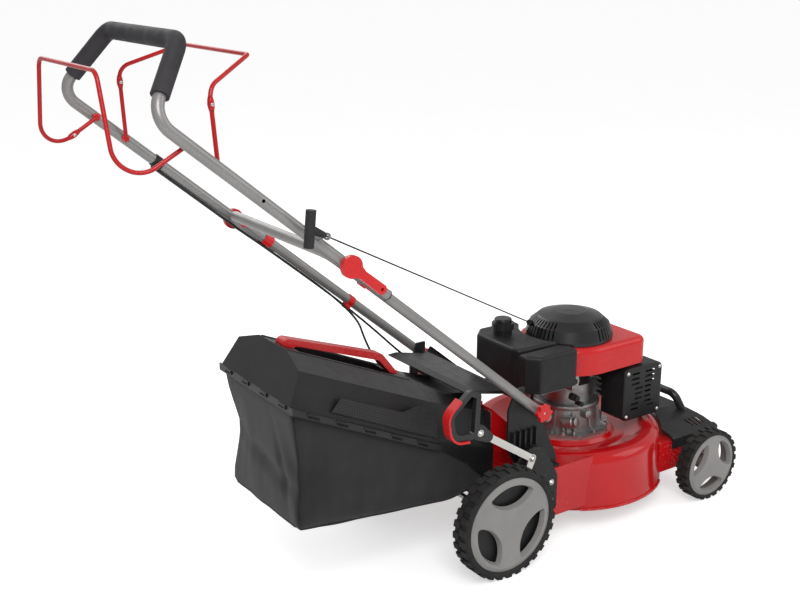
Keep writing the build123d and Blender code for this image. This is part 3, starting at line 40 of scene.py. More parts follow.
# ------------------------------------------------------------------ sizes
# Millimetres in the part's frame, as in the CAD. A size up the leg is counted from the handle's bolt.
REAR_X = 30.0                          # rear axle
ENGINE_X = REAR_X + 396                # axis of the crankshaft
BOLT_X, BOLT_Z = 144, 325              # handle bolt: ahead of the rear axle, above the ground
LEG_SLOPE = radians(39.5)
UPPER_LEG_Y = 224                      # middle plane of an upper handle leg
BAIL_Y = 207                           # middle plane of a bail's leg
DRIVE_PIVOT, BRAKE_PIVOT = 1063, 990   # up the leg
LEG_FOOT, LEG_COVER = -34, 64          # up the leg: ends of the channel on the left foot
BAG_REAR = REAR_X - 465
LID_FRONT = REAR_X - 105               # front end of the lid's side
BAG_HALF = 146.5                       # half the width of the cloth
RIM_HEIGHT, RIM_FALL = 452, 0.466      # lid's rim at the bag's rear, and its drop for each mm forward
LID_HEIGHT, LID_FALL = 568, 0.43       # top of the lid, likewise
BAG_DEPTH = 260                        # this far below the rim the cloth has all its slack
REAR_BAND = 30                         # cloth this near to the bag's rear is its rear wall
SWELL, FOLD, CREASE = 3.5, 5.0, 4.0    # reach of each movement of the cloth
PINCH_X, PINCH_Y = 17, -15             # pinch of its two rear corners, forward and inward
CLOTH_THICK = 0.0012                   # metres
BOLT_CIRCLE = 99                       # radius of the bolts round the engine
CABLE_R, ROPE_R = 2.6, 1.6
ROPE_TAIL = 34                         # how far the rope runs on inside its grip

# ------------------------------------------------------------------ materials
HOLE_WAVE = 560.0                      # blind holes of the lid, radians in a metre
THREAD_WAVE = 3900.0                   # threads of the cloth, radians in a metre


class Shade:
    """A node material with a Principled shader, and short calls that add nodes to it."""

    def __init__(self, name, rough=0.5, metallic=0.0, coat=0.0, coat_rough=0.1, specular=0.5, sheen=0.0):
        self.material = bpy.data.materials.new(name)
        self.material.use_nodes = True
        self.tree = self.material.node_tree
        self.shader = self.tree.nodes["Principled BSDF"]
        for socket, value in (("Roughness", rough), ("Metallic", metallic), ("Coat Weight", coat),
                              ("Coat Roughness", coat_rough), ("Specular IOR Level", specular),
                              ("Sheen Weight", sheen)):
            self.shader.inputs[socket].default_value = value
        self.place = self.node("ShaderNodeTexCoord").outputs["Object"]

    def node(self, kind, **settings):
        made = self.tree.nodes.new(kind)
        for key, value in settings.items():
            setattr(made, key, value)
        return made

    def link(self, start, end):
        self.tree.links.new(start, end)

    def mapped(self, scale=(1, 1, 1), turn=(0, 0, 0)):
        made = self.node("ShaderNodeMapping")
        made.inputs["Scale"].default_value = scale
        made.inputs["Rotation"].default_value = turn
        self.link(self.place, made.inputs["Vector"])
        return made.outputs["Vector"]

    def noise(self, scale, detail=3.0, vector=None, rough=0.55):
        made = self.node("ShaderNodeTexNoise")
        made.inputs["Scale"].default_value = scale
        made.inputs["Detail"].default_value = detail
        made.inputs["Roughness"].default_value = rough
        self.link(vector or self.place, made.inputs["Vector"])
        return made.outputs["Fac"]

    def ramp(self, fac, *stops):
        made = self.node("ShaderNodeValToRGB")
        elements = made.color_ramp.elements
        while len(elements) < len(stops):
            elements.new(0.5)
        for element, (place, colour) in zip(elements, stops):
            element.position = place
            element.color = (*colour, 1) if hasattr(colour, "__len__") else (colour, colour, colour, 1)
        self.link(fac, made.inputs["Fac"])
        return made.outputs["Color"]

    def math(self, operation, first, second=0.0, third=0.0):
        made = self.node("ShaderNodeMath", operation=operation)
        for socket, value in zip(made.inputs, (first, second, third)):
            if hasattr(value, "is_linked"):
                self.link(value, socket)
            else:
                socket.default_value = value
        return made.outputs[0]

    def mix(self, fac, first, second, blend="MIX"):
        made = self.node("ShaderNodeMix", data_type="RGBA", blend_type=blend)
        for socket, value in ((made.inputs[0], fac), (made.inputs[6], first), (made.inputs[7], second)):
            if hasattr(value, "is_linked"):
                self.link(value, socket)
            else:
                socket.default_value = (*value, 1) if hasattr(value, "__len__") else value
        return made.outputs[2]

    def colour(self, value):
        if hasattr(value, "is_linked"):
            self.link(value, self.shader.inputs["Base Color"])
        else:
            self.shader.inputs["Base Color"].default_value = (*value, 1)

    def rough(self, value):
        self.link(value, self.shader.inputs["Roughness"])

    def bump(self, height, distance, strength=1.0):
        made = self.node("ShaderNodeBump")
        made.inputs["Strength"].default_value = strength
        made.inputs["Distance"].default_value = distance
        self.link(height, made.inputs["Height"])
        self.link(made.outputs["Normal"], self.shader.inputs["Normal"])

    def edges(self, low=0.505, high=0.56):
        """0 on flat faces, 1 on worn convex edges."""
        point = self.node("ShaderNodeNewGeometry").outputs["Pointiness"]
        return self.ramp(point, (low, 0.0), (high, 1.0))


def painted(name, base, deep, rough=0.22, coat=0.8, flake=0.0, metallic=0.0, wear=(0.5, 0.48, 0.46),
            peel=0.00002, chip=0.5):
    """Sprayed or powder-coated metal: faint orange peel, a dusting in the colour, thin wear on edges."""
    made = Shade(name, rough, metallic, coat, 0.08, 0.3)
    cloud = made.ramp(made.noise(9, 4), (0.35, base), (0.75, deep))
    fine = made.noise(900, 2)
    if flake:
        flakes = made.ramp(made.noise(2600, 1), (0.45, 0.0), (0.75, flake))
        cloud = made.mix(flakes, cloud, (0.75, 0.74, 0.72))
    spots = made.ramp(made.noise(160, 3), (0.55, 0.0), (0.7, chip))
    chips = made.math("MULTIPLY", made.edges(0.53, 0.6), spots)
    made.colour(made.mix(chips, cloud, wear))
    made.rough(made.ramp(made.noise(35, 4), (0.3, rough * 0.8), (0.8, rough * 1.35)))
    made.bump(fine, peel)
    return made.material


def moulded(name, base, pale, rough=0.45, grain=0.00006, scale=1400, coat=0.0, dust_and_sheen=0.03, specular=0.36):
    """Injection-moulded plastic: spark-eroded grain, faint flow clouds, rubbed pale edges."""
    made = Shade(name, rough, 0.0, coat, 0.2, specular)
    cloud = made.ramp(made.noise(14, 4), (0.3, base), (0.8, pale))
    # upward faces are paled: a dusting on most plastics, and on the foam a painted top sheen
    facing = made.node("ShaderNodeNewGeometry").outputs["Normal"]
    split = made.node("ShaderNodeSeparateXYZ")
    made.link(facing, split.inputs[0])
    upward = made.ramp(split.outputs["Z"], (0.55, 0.0), (1.0, dust_and_sheen))
    dust_and_sheen_mask = made.math("MULTIPLY", upward, made.noise(60, 5))
    cloud = made.mix(dust_and_sheen_mask, cloud, (0.42, 0.40, 0.37))
    made.colour(made.mix(made.math("MULTIPLY", made.edges(0.53, 0.62), 0.35), cloud, pale))
    made.rough(made.ramp(made.noise(45, 4), (0.3, rough * 0.85), (0.75, min(1.0, rough * 1.25))))
    made.bump(made.noise(scale, 3), grain)
    return made.material


def metal(name, base, stain, rough=0.35, brushed=(1, 1, 1), grain=0.00003, scale=500):
    """Plated, cast or rolled metal, with stains in random patches and a directional or sandy grain."""
    made = Shade(name, rough, 1.0)
    spots = made.ramp(made.noise(30, 6, rough=0.7), (0.42, base), (0.72, stain))
    made.colour(made.mix(made.edges(0.52, 0.6), spots, tuple(min(1.0, c * 1.25) for c in base)))
    made.rough(made.ramp(made.noise(70, 5), (0.3, rough * 0.75), (0.75, min(1.0, rough * 1.4))))
    made.bump(made.noise(scale, 4, made.mapped(brushed)), grain)
    return made.material


red_paint = painted("red_paint", (0.58, 0.006, 0.009), (0.50, 0.004, 0.007), 0.16, 0.45)
red_wire_paint = painted("red_wire_paint", (0.52, 0.008, 0.011), (0.44, 0.006, 0.008), 0.3, 0.2, chip=0.1)
tube_paint = painted("tube_paint", (0.30, 0.29, 0.285), (0.25, 0.242, 0.24), 0.34, 0.3, flake=0.1,
                     metallic=0.4, chip=0.1)
black_sheet = painted("black_sheet", (0.009, 0.009, 0.010), (0.014, 0.014, 0.015), 0.36, 0.1, chip=0.06)
red_plastic = moulded("red_plastic", (0.62, 0.008, 0.011), (0.66, 0.02, 0.022), 0.26, 0.00002, coat=0.15,
                      dust_and_sheen=0.01)
black_plastic = moulded("black_plastic", (0.008, 0.008, 0.009), (0.018, 0.018, 0.019), 0.42)
satin_plastic = moulded("satin_plastic", (0.011, 0.011, 0.013), (0.022, 0.022, 0.024), 0.28, 0.00003, 900,
                        0.2)
hub_plastic = moulded("hub_plastic", (0.25, 0.243, 0.235), (0.31, 0.30, 0.29), 0.42, 0.00004, 1600, dust_and_sheen=0.0)
rubber = moulded("tyre_rubber", (0.011, 0.011, 0.012), (0.024, 0.023, 0.022), 0.7, 0.0001, 700, dust_and_sheen=0.06)
grip_rubber = moulded("grip_rubber", (0.012, 0.012, 0.013), (0.028, 0.028, 0.028), 0.55, 0.00008, 900)
zinc = metal("zinc_steel", (0.62, 0.61, 0.58), (0.42, 0.41, 0.39), 0.3)
dark_steel = metal("blade_steel", (0.10, 0.10, 0.105), (0.2, 0.15, 0.12), 0.45, (1, 12, 1))
cast_alloy = metal("cast_alloy", (0.40, 0.40, 0.395), (0.24, 0.24, 0.235), 0.46, grain=0.0001, scale=420)
heat_steel = metal("heat_steel", (0.07, 0.065, 0.062), (0.13, 0.085, 0.06), 0.55, grain=0.00006, scale=600)
cord_black = moulded("cord_black", (0.012, 0.012, 0.013), (0.026, 0.026, 0.027), 0.36, 0.00002, 1500)

lid_plastic = moulded("lid_plastic", (0.010, 0.010, 0.011), (0.02, 0.02, 0.021), 0.36, 0.00009, 1100, 0.1,
                      0.03)
# near-black plates for the rim's slot openings: painted shade
painted_slot_shade = moulded("painted_slot_shade", (0.002, 0.002, 0.002), (0.004, 0.004, 0.004), 0.8, dust_and_sheen=0.0)
# its strong paling of upward faces is a painted top sheen
foam = moulded("foam", (0.024, 0.022, 0.026), (0.042, 0.039, 0.045), 0.62, 0.00022, 620, dust_and_sheen=0.16)
binding = moulded("bag_binding", (0.01, 0.01, 0.011), (0.02, 0.02, 0.02), 0.8, 0.0001, 1600, dust_and_sheen=0.02)


def vented(name):
    """Lid plastic with a field of small blind holes, in rows that follow the rim; the holes are near-black
    with painted shade.
    """
    made = Shade(name, 0.42)
    split = made.node("ShaderNodeSeparateXYZ")
    made.link(made.place, split.inputs[0])
    along_rim = made.math("MULTIPLY", split.outputs["X"], HOLE_WAVE)
    level = made.math("MULTIPLY_ADD", split.outputs["X"], RIM_FALL, split.outputs["Z"])
    up = made.math("MULTIPLY", level, HOLE_WAVE)
    dots = made.math("MULTIPLY", made.math("SINE", along_rim), made.math("SINE", up))
    hole_and_shade = made.ramp(made.math("ABSOLUTE", dots), (0.42, 0.0), (0.6, 1.0))
    cloud = made.ramp(made.noise(14, 4), (0.3, (0.013, 0.013, 0.014)), (0.8, (0.028, 0.028, 0.029)))
    # near-black in the holes: painted shade
    made.colour(made.mix(hole_and_shade, cloud, (0.002, 0.002, 0.002)))
    made.bump(made.math("SUBTRACT", made.noise(1100, 3), hole_and_shade), 0.0006, 0.6)
    return made.material


def woven(name):
    """Open black polyester mesh: two thread directions, paler where the threads cross."""
    made = Shade(name, 0.82, 0.0, 0.0, 0.1, 0.3, 0.25)
    split = made.node("ShaderNodeSeparateXYZ")
    made.link(made.place, split.inputs[0])
    level = made.math("ADD", split.outputs["X"], split.outputs["Y"])
    warp = made.math("SINE", made.math("MULTIPLY", level, THREAD_WAVE))
    weft = made.math("SINE", made.math("MULTIPLY", split.outputs["Z"], THREAD_WAVE))
    thread = made.math("MAXIMUM", warp, weft)
    cloud = made.ramp(made.noise(22, 5), (0.3, (0.007, 0.007, 0.008)), (0.75, (0.014, 0.014, 0.015)))
    made.colour(made.mix(made.ramp(thread, (0.2, 0.0), (1.0, 0.55)), cloud, (0.024, 0.024, 0.026)))
    made.bump(thread, 0.00025, 0.7)
    return made.material


vented_plastic = vented("vented_plastic")
mesh_cloth = woven("bag_cloth")

finish_of = {
    "deck_shell": red_paint, "plain_bushes": black_plastic, "side_brackets": black_sheet,
    "handle_supports": black_plastic, "handle_bolts": zinc, "gearbox": satin_plastic, "drive_belt": rubber,
    "front_cover": black_plastic, "front_bar": satin_plastic, "crankcase": cast_alloy,
    "blower_housing": red_plastic, "recoil_cover": satin_plastic, "fuel_tank": black_plastic,
    "air_filter": black_plastic, "muffler_guard": black_sheet, "muffler": heat_steel,
    "spark_plug": black_plastic, "rear_axle": zinc, "right_rear_hub": hub_plastic,
    "left_rear_hub": hub_plastic, "right_front_hub": hub_plastic, "left_front_hub": hub_plastic,
    "right_rear_tyre": rubber, "left_rear_tyre": rubber, "right_front_tyre": rubber,
    "left_front_tyre": rubber, "right_wheel_gear": black_plastic, "left_wheel_gear": black_plastic,
    "drive_shaft": zinc, "gearbox_pulley": black_plastic, "crankshaft": dark_steel,
    "blade_adapter": cast_alloy, "blade": dark_steel, "front_axle": zinc, "link_rod": zinc,
    "height_lever": zinc, "lever_handle": satin_plastic, "lever_grip": red_plastic,
    "lower_handle": tube_paint, "tube_clips": red_plastic, "upper_handle": tube_paint,
    "right_cam_lever": red_plastic, "left_cam_lever": red_plastic, "right_star_knob": red_plastic,
    "left_star_knob": red_plastic, "drive_bail": red_wire_paint, "brake_bail": red_wire_paint,
    "starter_grip": grip_rubber, "fuel_cap": satin_plastic, "oil_cap": black_plastic,
    "discharge_flap": lid_plastic, "bag_lid": lid_plastic, "bag_frame": lid_plastic,
    "bag_handle": red_plastic, "starter_rope": cord_black, "drive_cable": cord_black,
    "brake_cable": cord_black, "bag_body": black_plastic, "grip_foam": foam,
}
for name, material in finish_of.items():
    mesh = nodes[name].data
    mesh.materials.clear()
    mesh.materials.append(material)


# ------------------------------------------------------------------ points and shapes
def on_leg(distance, y=0.0, lift=0.0):
    """Point of the handle's leg line in mm, this far up from its bolt."""
    return Vector((REAR_X + BOLT_X - cos(LEG_SLOPE) * distance + sin(LEG_SLOPE) * lift, y,
                   BOLT_Z + sin(LEG_SLOPE) * distance + cos(LEG_SLOPE) * lift))


def at(x, y, z):
    """Point in mm whose x is counted from the rear axle."""
    return Vector((REAR_X + x, y, z))


def rim_at(x):
    """Height of the lid's rim."""
    return RIM_HEIGHT - RIM_FALL * (x - BAG_REAR)


def lid_at(x):
    """Height of the lid's top."""
    return LID_HEIGHT - LID_FALL * (x - BAG_REAR)


class Forge:
    """Collects solids in mm into one piece."""

    def __init__(self):
        self.bm = bmesh.new()

    def add(self, verts, faces, smooth=False):
        made = [self.bm.verts.new(Vector(v) * MM) for v in verts]
        for face in faces:
            self.bm.faces.new([made[i] for i in face]).smooth = smooth

    def slab(self, outline, thick):
        """Closed plate from a 3-D outline, thickened by this vector."""
        count = len(outline)
        verts = [Vector(p) for p in outline] + [Vector(p) + Vector(thick) for p in outline]
        sides = [(i, (i + 1) % count, count + (i + 1) % count, count + i) for i in range(count)]
        self.add(verts, [tuple(range(count))[::-1], tuple(range(count, 2 * count))] + sides)

    def brick(self, low, high):
        """Box between two opposite corners."""
        (ax, ay, az), (bx, by, bz) = low, high
        self.slab([(ax, ay, az), (bx, ay, az), (bx, by, az), (ax, by, az)], (0, 0, bz - az))

    @staticmethod
    def rings(rows, sides):
        """Faces that join rings of vertices into a tube, with a cap at each end."""
        faces = [(r * sides + s, r * sides + (s + 1) % sides,
                  (r + 1) * sides + (s + 1) % sides, (r + 1) * sides + s)
                 for r in range(rows - 1) for s in range(sides)]
        return faces + [tuple(range(sides))[::-1], tuple(range((rows - 1) * sides, rows * sides))]

    def turned(self, start, axis, profile, sides=28, smooth=True):
        """Solid of revolution: (distance along the axis, radius) pairs, closed at both ends."""
        start, axis = Vector(start), Vector(axis).normalized()
        across = axis.orthogonal().normalized()
        other = axis.cross(across)
        verts = []
        for along, radius in profile:
            for step in range(sides):
                angle = 2 * pi * step / sides
                verts.append(start + axis * along + (across * cos(angle) + other * sin(angle)) * radius)
        self.add(verts, self.rings(len(profile), sides), smooth)

    def bolt(self, place, axis, size=5.0, washer=True):
        """Flanged hexagon head standing on this spot."""
        if washer:
            self.turned(place, axis, [(-0.4, size * 1.55), (1.0, size * 1.55), (1.4, size * 1.35)], 28, False)
        self.turned(place, axis, [(-0.2, size), (size * 0.85, size), (size * 1.05, size * 0.82)], 6, False)

    def sweep(self, points, radius, sides=10):
        """Round cord through closely spaced points."""
        points = [Vector(p) for p in points]
        verts = []
        up = Vector((0.1, 0.2, 1)).normalized()
        for index, point in enumerate(points):
            ahead = points[min(index + 1, len(points) - 1)] - points[max(index - 1, 0)]
            side = ahead.cross(up).normalized()
            top = side.cross(ahead).normalized()
            for step in range(sides):
                angle = 2 * pi * step / sides
                verts.append(point + (side * cos(angle) + top * sin(angle)) * radius)
        self.add(verts, self.rings(len(points), sides), True)

    def done(self, name, material, body, slot, bevel=0.0, segments=2):
        bmesh.ops.recalc_face_normals(self.bm, faces=self.bm.faces)
        mesh = bpy.data.meshes.new(name)
        self.bm.to_mesh(mesh)
        self.bm.free()
        mesh.materials.append(material)
        piece = bpy.data.objects.new(name, mesh)
        bpy.context.scene.collection.objects.link(piece)
        if bevel:
            made = piece.modifiers.new("bevel", "BEVEL")
            made.width = bevel * MM
            made.segments = segments
            made.limit_method = "ANGLE"
            made.angle_limit = radians(40)
            made.harden_normals = True
        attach(piece, body)
        return piece


# ------------------------------------------------------------------ grass bag
SEAM = 1000                            # a seam vertex holds its seam's number times this, plus its place


def along(line, share):
    """Point of a polyline at this share of its length."""
    runs = [(b - a).length for a, b in zip(line, line[1:])]
    left = share * sum(runs)
    for a, b, run in zip(line, line[1:], runs):
        if left <= run:
            return a.lerp(b, left / run)
        left -= run
    return line[-1].copy()


def cloth_slack(here):
    """How far the cloth at this point hangs from the taut bag: it swells between its seams, bags out low
    down, creases, and pinches in at the two rear corners."""
    depth = min(1.0, max(0.0, (rim_at(here.x) - here.z) / BAG_DEPTH))
    middle = 1 - abs(here.y) / BAG_HALF
    slack = noise.noise(here * 0.011 + Vector((3, 7, 1)))
    crease = abs(noise.noise(Vector((here.x * 0.03, here.y * 0.03, here.z * 0.008)) + Vector((9, 2, 5))))
    fold = noise.noise(Vector((here.x * 0.006 + here.z * 0.02, here.y * 0.02, here.z * 0.012)))
    swell = SWELL * slack * depth + FOLD * fold * depth - CREASE * crease * sin(pi * depth)
    out = Vector((0, 0, 0))
    if abs(here.y) > BAG_HALF - 8:
        out.y = (1 if here.y > 0 else -1) * (swell - 3.0 * sin(pi * depth))
    elif here.x < BAG_REAR + REAR_BAND:
        out.x = -(swell * 0.7) + 4.0 * sin(pi * depth) * middle ** 0.5
    else:
        out.z = 6.0 * slack - 7.0 * sin(pi * min(1.0, middle)) + 4.0 * fold
    corner = max(0.0, 1 - (here.x - BAG_REAR) / 95) * max(0.0, (abs(here.y) - 60) / (BAG_HALF - 60))
    pinch = corner * sin(pi * min(1.0, depth * 1.05)) ** 2
    out += Vector((PINCH_X * pinch, PINCH_Y * pinch * (1 if here.y > 0 else -1), 0))
    if here.x < BAG_REAR + REAR_BAND:
        line = here.z - (300 + 0.22 * here.y)
        out.x += 7.0 * exp(-(line / 16) ** 2) * (0.4 + middle)
        ridge = here.y + 92 - 0.25 * (here.z - 260)
        out.x += 5.0 * exp(-(ridge / 9) ** 2) * sin(pi * depth)
    return out


def bag_cloth():
    """One sewn sheet: two sides, the rear and the bottom, hung from the lid's rim and the mouth frame."""
    top = [Vector((BAG_REAR + 6, 0, 458)), Vector((LID_FRONT - 8, 0, rim_at(LID_FRONT) + 8)),
           Vector((REAR_X - 33, 0, 238)), Vector((REAR_X + 27, 0, 194))]
    low = [Vector((BAG_REAR + 14, 0, 190)), Vector((REAR_X - 250, 0, 170)), Vector((REAR_X - 70, 0, 154)),
           Vector((REAR_X + 10, 0, 170)), Vector((REAR_X + 27, 0, 188))]
    bm = bmesh.new()
    seam = bm.verts.layers.int.new("seam")
    span, drop, wide = 64, 30, 40

    def grid(columns, rows, place, mark):
        verts = []
        for i in range(columns + 1):
            line = []
            for j in range(rows + 1):
                vert = bm.verts.new(place(i / columns, j / rows))
                vert[seam] = mark(i, j)
                line.append(vert)
            verts.append(line)
        for i in range(columns):
            for j in range(rows):
                corners = (verts[i][j], verts[i + 1][j], verts[i + 1][j + 1], verts[i][j + 1])
                bm.faces.new(corners).smooth = True

    for sign in (-1, 1):
        def side(s, v, sign=sign):
            spot = along(top, s).lerp(along(low, s), v)
            return Vector((spot.x, sign * BAG_HALF, spot.z))
        grid(span, drop, side, lambda i, j, sign=sign: SEAM * (1 if sign < 0 else 2) + i if j == drop else (
            SEAM * (3 if sign < 0 else 4) + j if i == 0 else 0))

    def rear(s, v):
        spot = top[0].lerp(low[0], v)
        return Vector((spot.x, BAG_HALF * (2 * s - 1), spot.z))

    def bottom(s, v):
        spot = along(low, s)
        return Vector((spot.x, BAG_HALF * (2 * v - 1), spot.z))
    grid(wide, drop, rear, lambda i, j: SEAM * 5 + i if j == drop else 0)
    grid(span, wide, bottom, lambda i, j: 0)
    bmesh.ops.remove_doubles(bm, verts=bm.verts, dist=0.2)
    inner = [v for v in bm.verts if not v.is_boundary]
    for _ in range(5):
        bmesh.ops.smooth_vert(bm, verts=inner, factor=0.5, use_axis_x=True, use_axis_y=True, use_axis_z=True)
    for vert in inner:
        vert.co += cloth_slack(vert.co)
        vert.co.y = max(-BAG_HALF - 2, min(BAG_HALF + 2, vert.co.y))
        vert.co.x = max(BAG_REAR + 2, vert.co.x)
    for _ in range(2):
        bmesh.ops.smooth_vert(bm, verts=inner, factor=0.5, use_axis_x=True, use_axis_y=True, use_axis_z=True)
    seams = {}
    for vert in bm.verts:
        if vert[seam]:
            seams.setdefault(vert[seam] // SEAM, []).append((vert[seam] % SEAM, vert.co.copy()))
    for vert in bm.verts:
        vert.co *= MM
    bmesh.ops.recalc_face_normals(bm, faces=bm.faces)
    mesh = bpy.data.meshes.new("bag_cloth")
    bm.to_mesh(mesh)
    bm.free()
    mesh.materials.append(mesh_cloth)
    cloth = bpy.data.objects.new("bag_cloth", mesh)
    bpy.context.scene.collection.objects.link(cloth)
    thick = cloth.modifiers.new("thick", "SOLIDIFY")
    thick.thickness = CLOTH_THICK
    thick.offset = 0
    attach(cloth, "bag")
    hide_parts("bag_body")
    piping = Forge()
    for points in seams.values():
        run = [co for _, co in sorted(points, key=lambda pair: pair[0])]
        piping.sweep(run, 2.2, 8)
    hem = piping.done("bag_piping", binding, "bag", "bag_cloth")


def lid_details():
    """Near-black plates of painted shade in the slot openings along the rim, with their lips, the raised side
    panels and the ribs of the lid.
    """
    pitch = 66
    slot_shades, lips = Forge(), Forge()
    # thin near-black plates below the lips: painted shade of the slot openings
    for y in (-118, -40, 38, 116):
        slot_shades.brick((BAG_REAR - 0.5, y - 15, 455), (BAG_REAR + 1, y + 15, 462))
        lips.brick((BAG_REAR - 3.4, y - 17, 461.6), (BAG_REAR + 1, y + 12, 465.4))
        lips.brick((BAG_REAR - 3.4, y - 17, 456.5), (BAG_REAR + 1, y - 13, 464))
    for sign in (-1, 1):
        for step in range(5):
            x = BAG_REAR + 34 + step * pitch
            face = sign * (BAG_HALF + 12.5)
            corners = ((0, 3), (26, 3), (26, 9), (0, 9))
            slot_shades.slab([(x + a, face, rim_at(x + a) + b) for a, b in corners], (0, sign * 0.5, 0))
            corners = ((-2, 9), (22, 9), (22, 12.5), (-2, 12.5))
            lips.slab([(x + a, face, rim_at(x + a) + b) for a, b in corners], (0, sign * 2.6, 0))
    slot_shades.done("rim_slot_shades", painted_slot_shade, "bag", "black_plastic")
    lips.done("rim_lips", lid_plastic, "bag", "black_plastic", 0.6)
    panels = Forge()
    for sign in (-1, 1):
        face = sign * 149.6
        outline = [(BAG_REAR + 92, 26), (BAG_REAR + 116, 62), (LID_FRONT - 96, 66), (LID_FRONT - 58, 88),
                   (LID_FRONT - 10, 84), (LID_FRONT - 4, 26)]
        flat = [(x, face, rim_at(x) + lift) for x, lift in outline]
        panels.slab(flat, (0, sign * 2.2, 0))
    panels.done("lid_side_panels", vented_plastic, "bag", "black_plastic", 1.2, 3)
    ribs = Forge()
    for y in (-54, 54):
        start, end = BAG_REAR + 50, LID_FRONT - 12
        ribs.slab([(start, y - 3.5, lid_at(start) - 1), (end, y - 3.5, lid_at(end) - 1),
                   (end, y + 3.5, lid_at(end) - 1), (start, y + 3.5, lid_at(start) - 1)], (0, 0, 3.2))
    ribs.done("lid_ribs", lid_plastic, "bag", "black_plastic", 1.2)


# ------------------------------------------------------------------ cords
def cord_piece(name, node, route, radius):
    """Cord on the node's own route; the points are in mm."""
    line = bpy.data.curves.new(name, "CURVE")
    line.dimensions = "3D"
    spline = line.splines.new("NURBS")
    spline.points.add(len(route) - 1)
    for point, spot in zip(spline.points, route):
        point.co = (*(Vector(spot) * MM), 1)
    spline.order_u = 3
    spline.use_endpoint_u = True
    spline.resolution_u = 16
    line.bevel_depth = radius * MM
    line.bevel_resolution = 4
    line.use_fill_caps = True
    line.materials.append(cord_black)
    piece = bpy.data.objects.new(name, line)
    bpy.context.scene.collection.objects.link(piece)
    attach(piece, "deck")
    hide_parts(node)


drive_route = [
    on_leg(905, 220, -13.6), on_leg(735, 220, -14), on_leg(668, 206, -16), on_leg(600, 197, -14.4),
    on_leg(300, 197, -14.2), at(-76, 182, 425), at(-52, 168, 376), at(-20, 167, 322),
    at(16, 167, 262), at(41, 164, 210), at(50, 148, 176), at(50.6, 112, 163), at(49.4, 76, 160),
    at(48, 40.4, 160),
]
brake_route = [
    on_leg(905, 228, -13.6), on_leg(735, 228, -14), on_leg(668, 214, -16), on_leg(600, 205, -14.4),
    on_leg(300, 205, -14.2), at(84, 203, 327), at(164, 194, 296), at(198, 168, 284),
    at(236, 132, 286), at(268, 96, 292), at(294, 68, 296), at(300, 46.2, 296),
]
rope_high = at(-430, -246, 820)
rope_low = at(353, 57, 422)
rope_dir = (rope_low - rope_high).normalized()


# ------------------------------------------------------------------ handle details
def handle_details():
    """Channel over the left foot, bolt heads, washers at the bails' pivots, caps in the tubes' ends."""
    channel = Forge()
    for low, high in ((-24, -21.5), (21.5, 24)):
        flange = [on_leg(LEG_FOOT, 175, low), on_leg(LEG_COVER, 175, low),
                  on_leg(LEG_COVER, 183.6, low), on_leg(LEG_FOOT, 183.6, low)]
        channel.slab(flange, on_leg(0, 0, high) - on_leg(0, 0, low))
    web = [on_leg(LEG_FOOT, 181.4, -24), on_leg(LEG_COVER, 181.4, -24),
           on_leg(LEG_COVER, 181.4, 24), on_leg(LEG_FOOT, 181.4, 24)]
    channel.slab(web, (0, 2.3, 0))
    channel.done("left_tube_channel", black_sheet, "deck", "black_sheet", 0.8)
    bolts = Forge()
    for sign in (-1, 1):
        bolts.bolt(on_leg(30, sign * 178, 0), (0, -sign, 0), 6.5)
    bolts.done("handle_bolt_heads", zinc, "deck", "zinc_steel", 0.3)
    eyes = Forge()
    for sign in (-1, 1):
        for distance in (DRIVE_PIVOT, BRAKE_PIVOT):
            spot = on_leg(distance, sign * 211.5, 0)
            eyes.turned(spot, (0, -sign, 0), [(0, 7.5), (3.4, 7.5), (4.2, 6.4)], 24)
    eyes.done("bail_pivot_washers", red_plastic, "upper_frame", "red_plastic")
    ends = Forge()
    for sign in (-1, 1):
        spot = on_leg(560, sign * UPPER_LEG_Y, 0)
        direction = on_leg(0) - on_leg(1)
        ends.turned(spot - direction * 0.5, direction, [(0, 11.2), (1.6, 11.4), (3.6, 9.6), (4.2, 5.0)], 28)
    ends.done("tube_end_caps", black_plastic, "upper_frame", "black_plastic")


def control_details():
    """Silver bolts of the height lever, flattened eyes on the bails, the cables' collar on the left tube."""
    bolts = Forge()
    bolts.bolt(at(-57, -230, 341), (0, -1, 0), 5.2)
    bolts.bolt(at(97, -222, 240), (0, -1, 0), 5.4)
    bolts.done("lever_bolts", zinc, "lever", "zinc_steel", 0.25)
    # each bail: its pivot, the first corner of its rod, where the eye is between them, and its sides
    for name, body, pivot, corner, share, signs in (
            ("drive_bail", "drive_control", DRIVE_PIVOT, (-795, 198, 932), 0.42, (1,)),
            ("brake_bail", "brake_control", BRAKE_PIVOT, (-628, 202, 1094), 0.8, (-1, 1))):
        eyes, ferrules = Forge(), Forge()
        for sign in signs:
            start, end = on_leg(pivot, sign * BAIL_Y), at(corner[0], sign * corner[1], corner[2])
            spot, run = start.lerp(end, share), (end - start).normalized()
            eyes.turned(spot - run * 13, run, [(0, 4.1), (6, 5.6), (13, 6.4), (20, 5.6), (26, 4.1)], 18)
            ferrules.turned(spot - Vector((0, 7.4, 0)), (0, 1, 0),
                            [(0, 2.6), (0.5, 3.2), (14.3, 3.2), (14.8, 2.6)], 18)
        eyes.done(name + "_eyes", red_wire_paint, body, "red_paint")
        ferrules.done(name + "_ferrules", zinc, body, "zinc_steel")
    guard = Forge()
    guard.turned(on_leg(912, UPPER_LEG_Y), on_leg(0) - on_leg(1),
                 [(0, 12.4), (1, 13.2), (21, 13.2), (22, 12.4)], 32)
    guard.done("cable_guard", black_plastic, "upper_frame", "black_plastic")


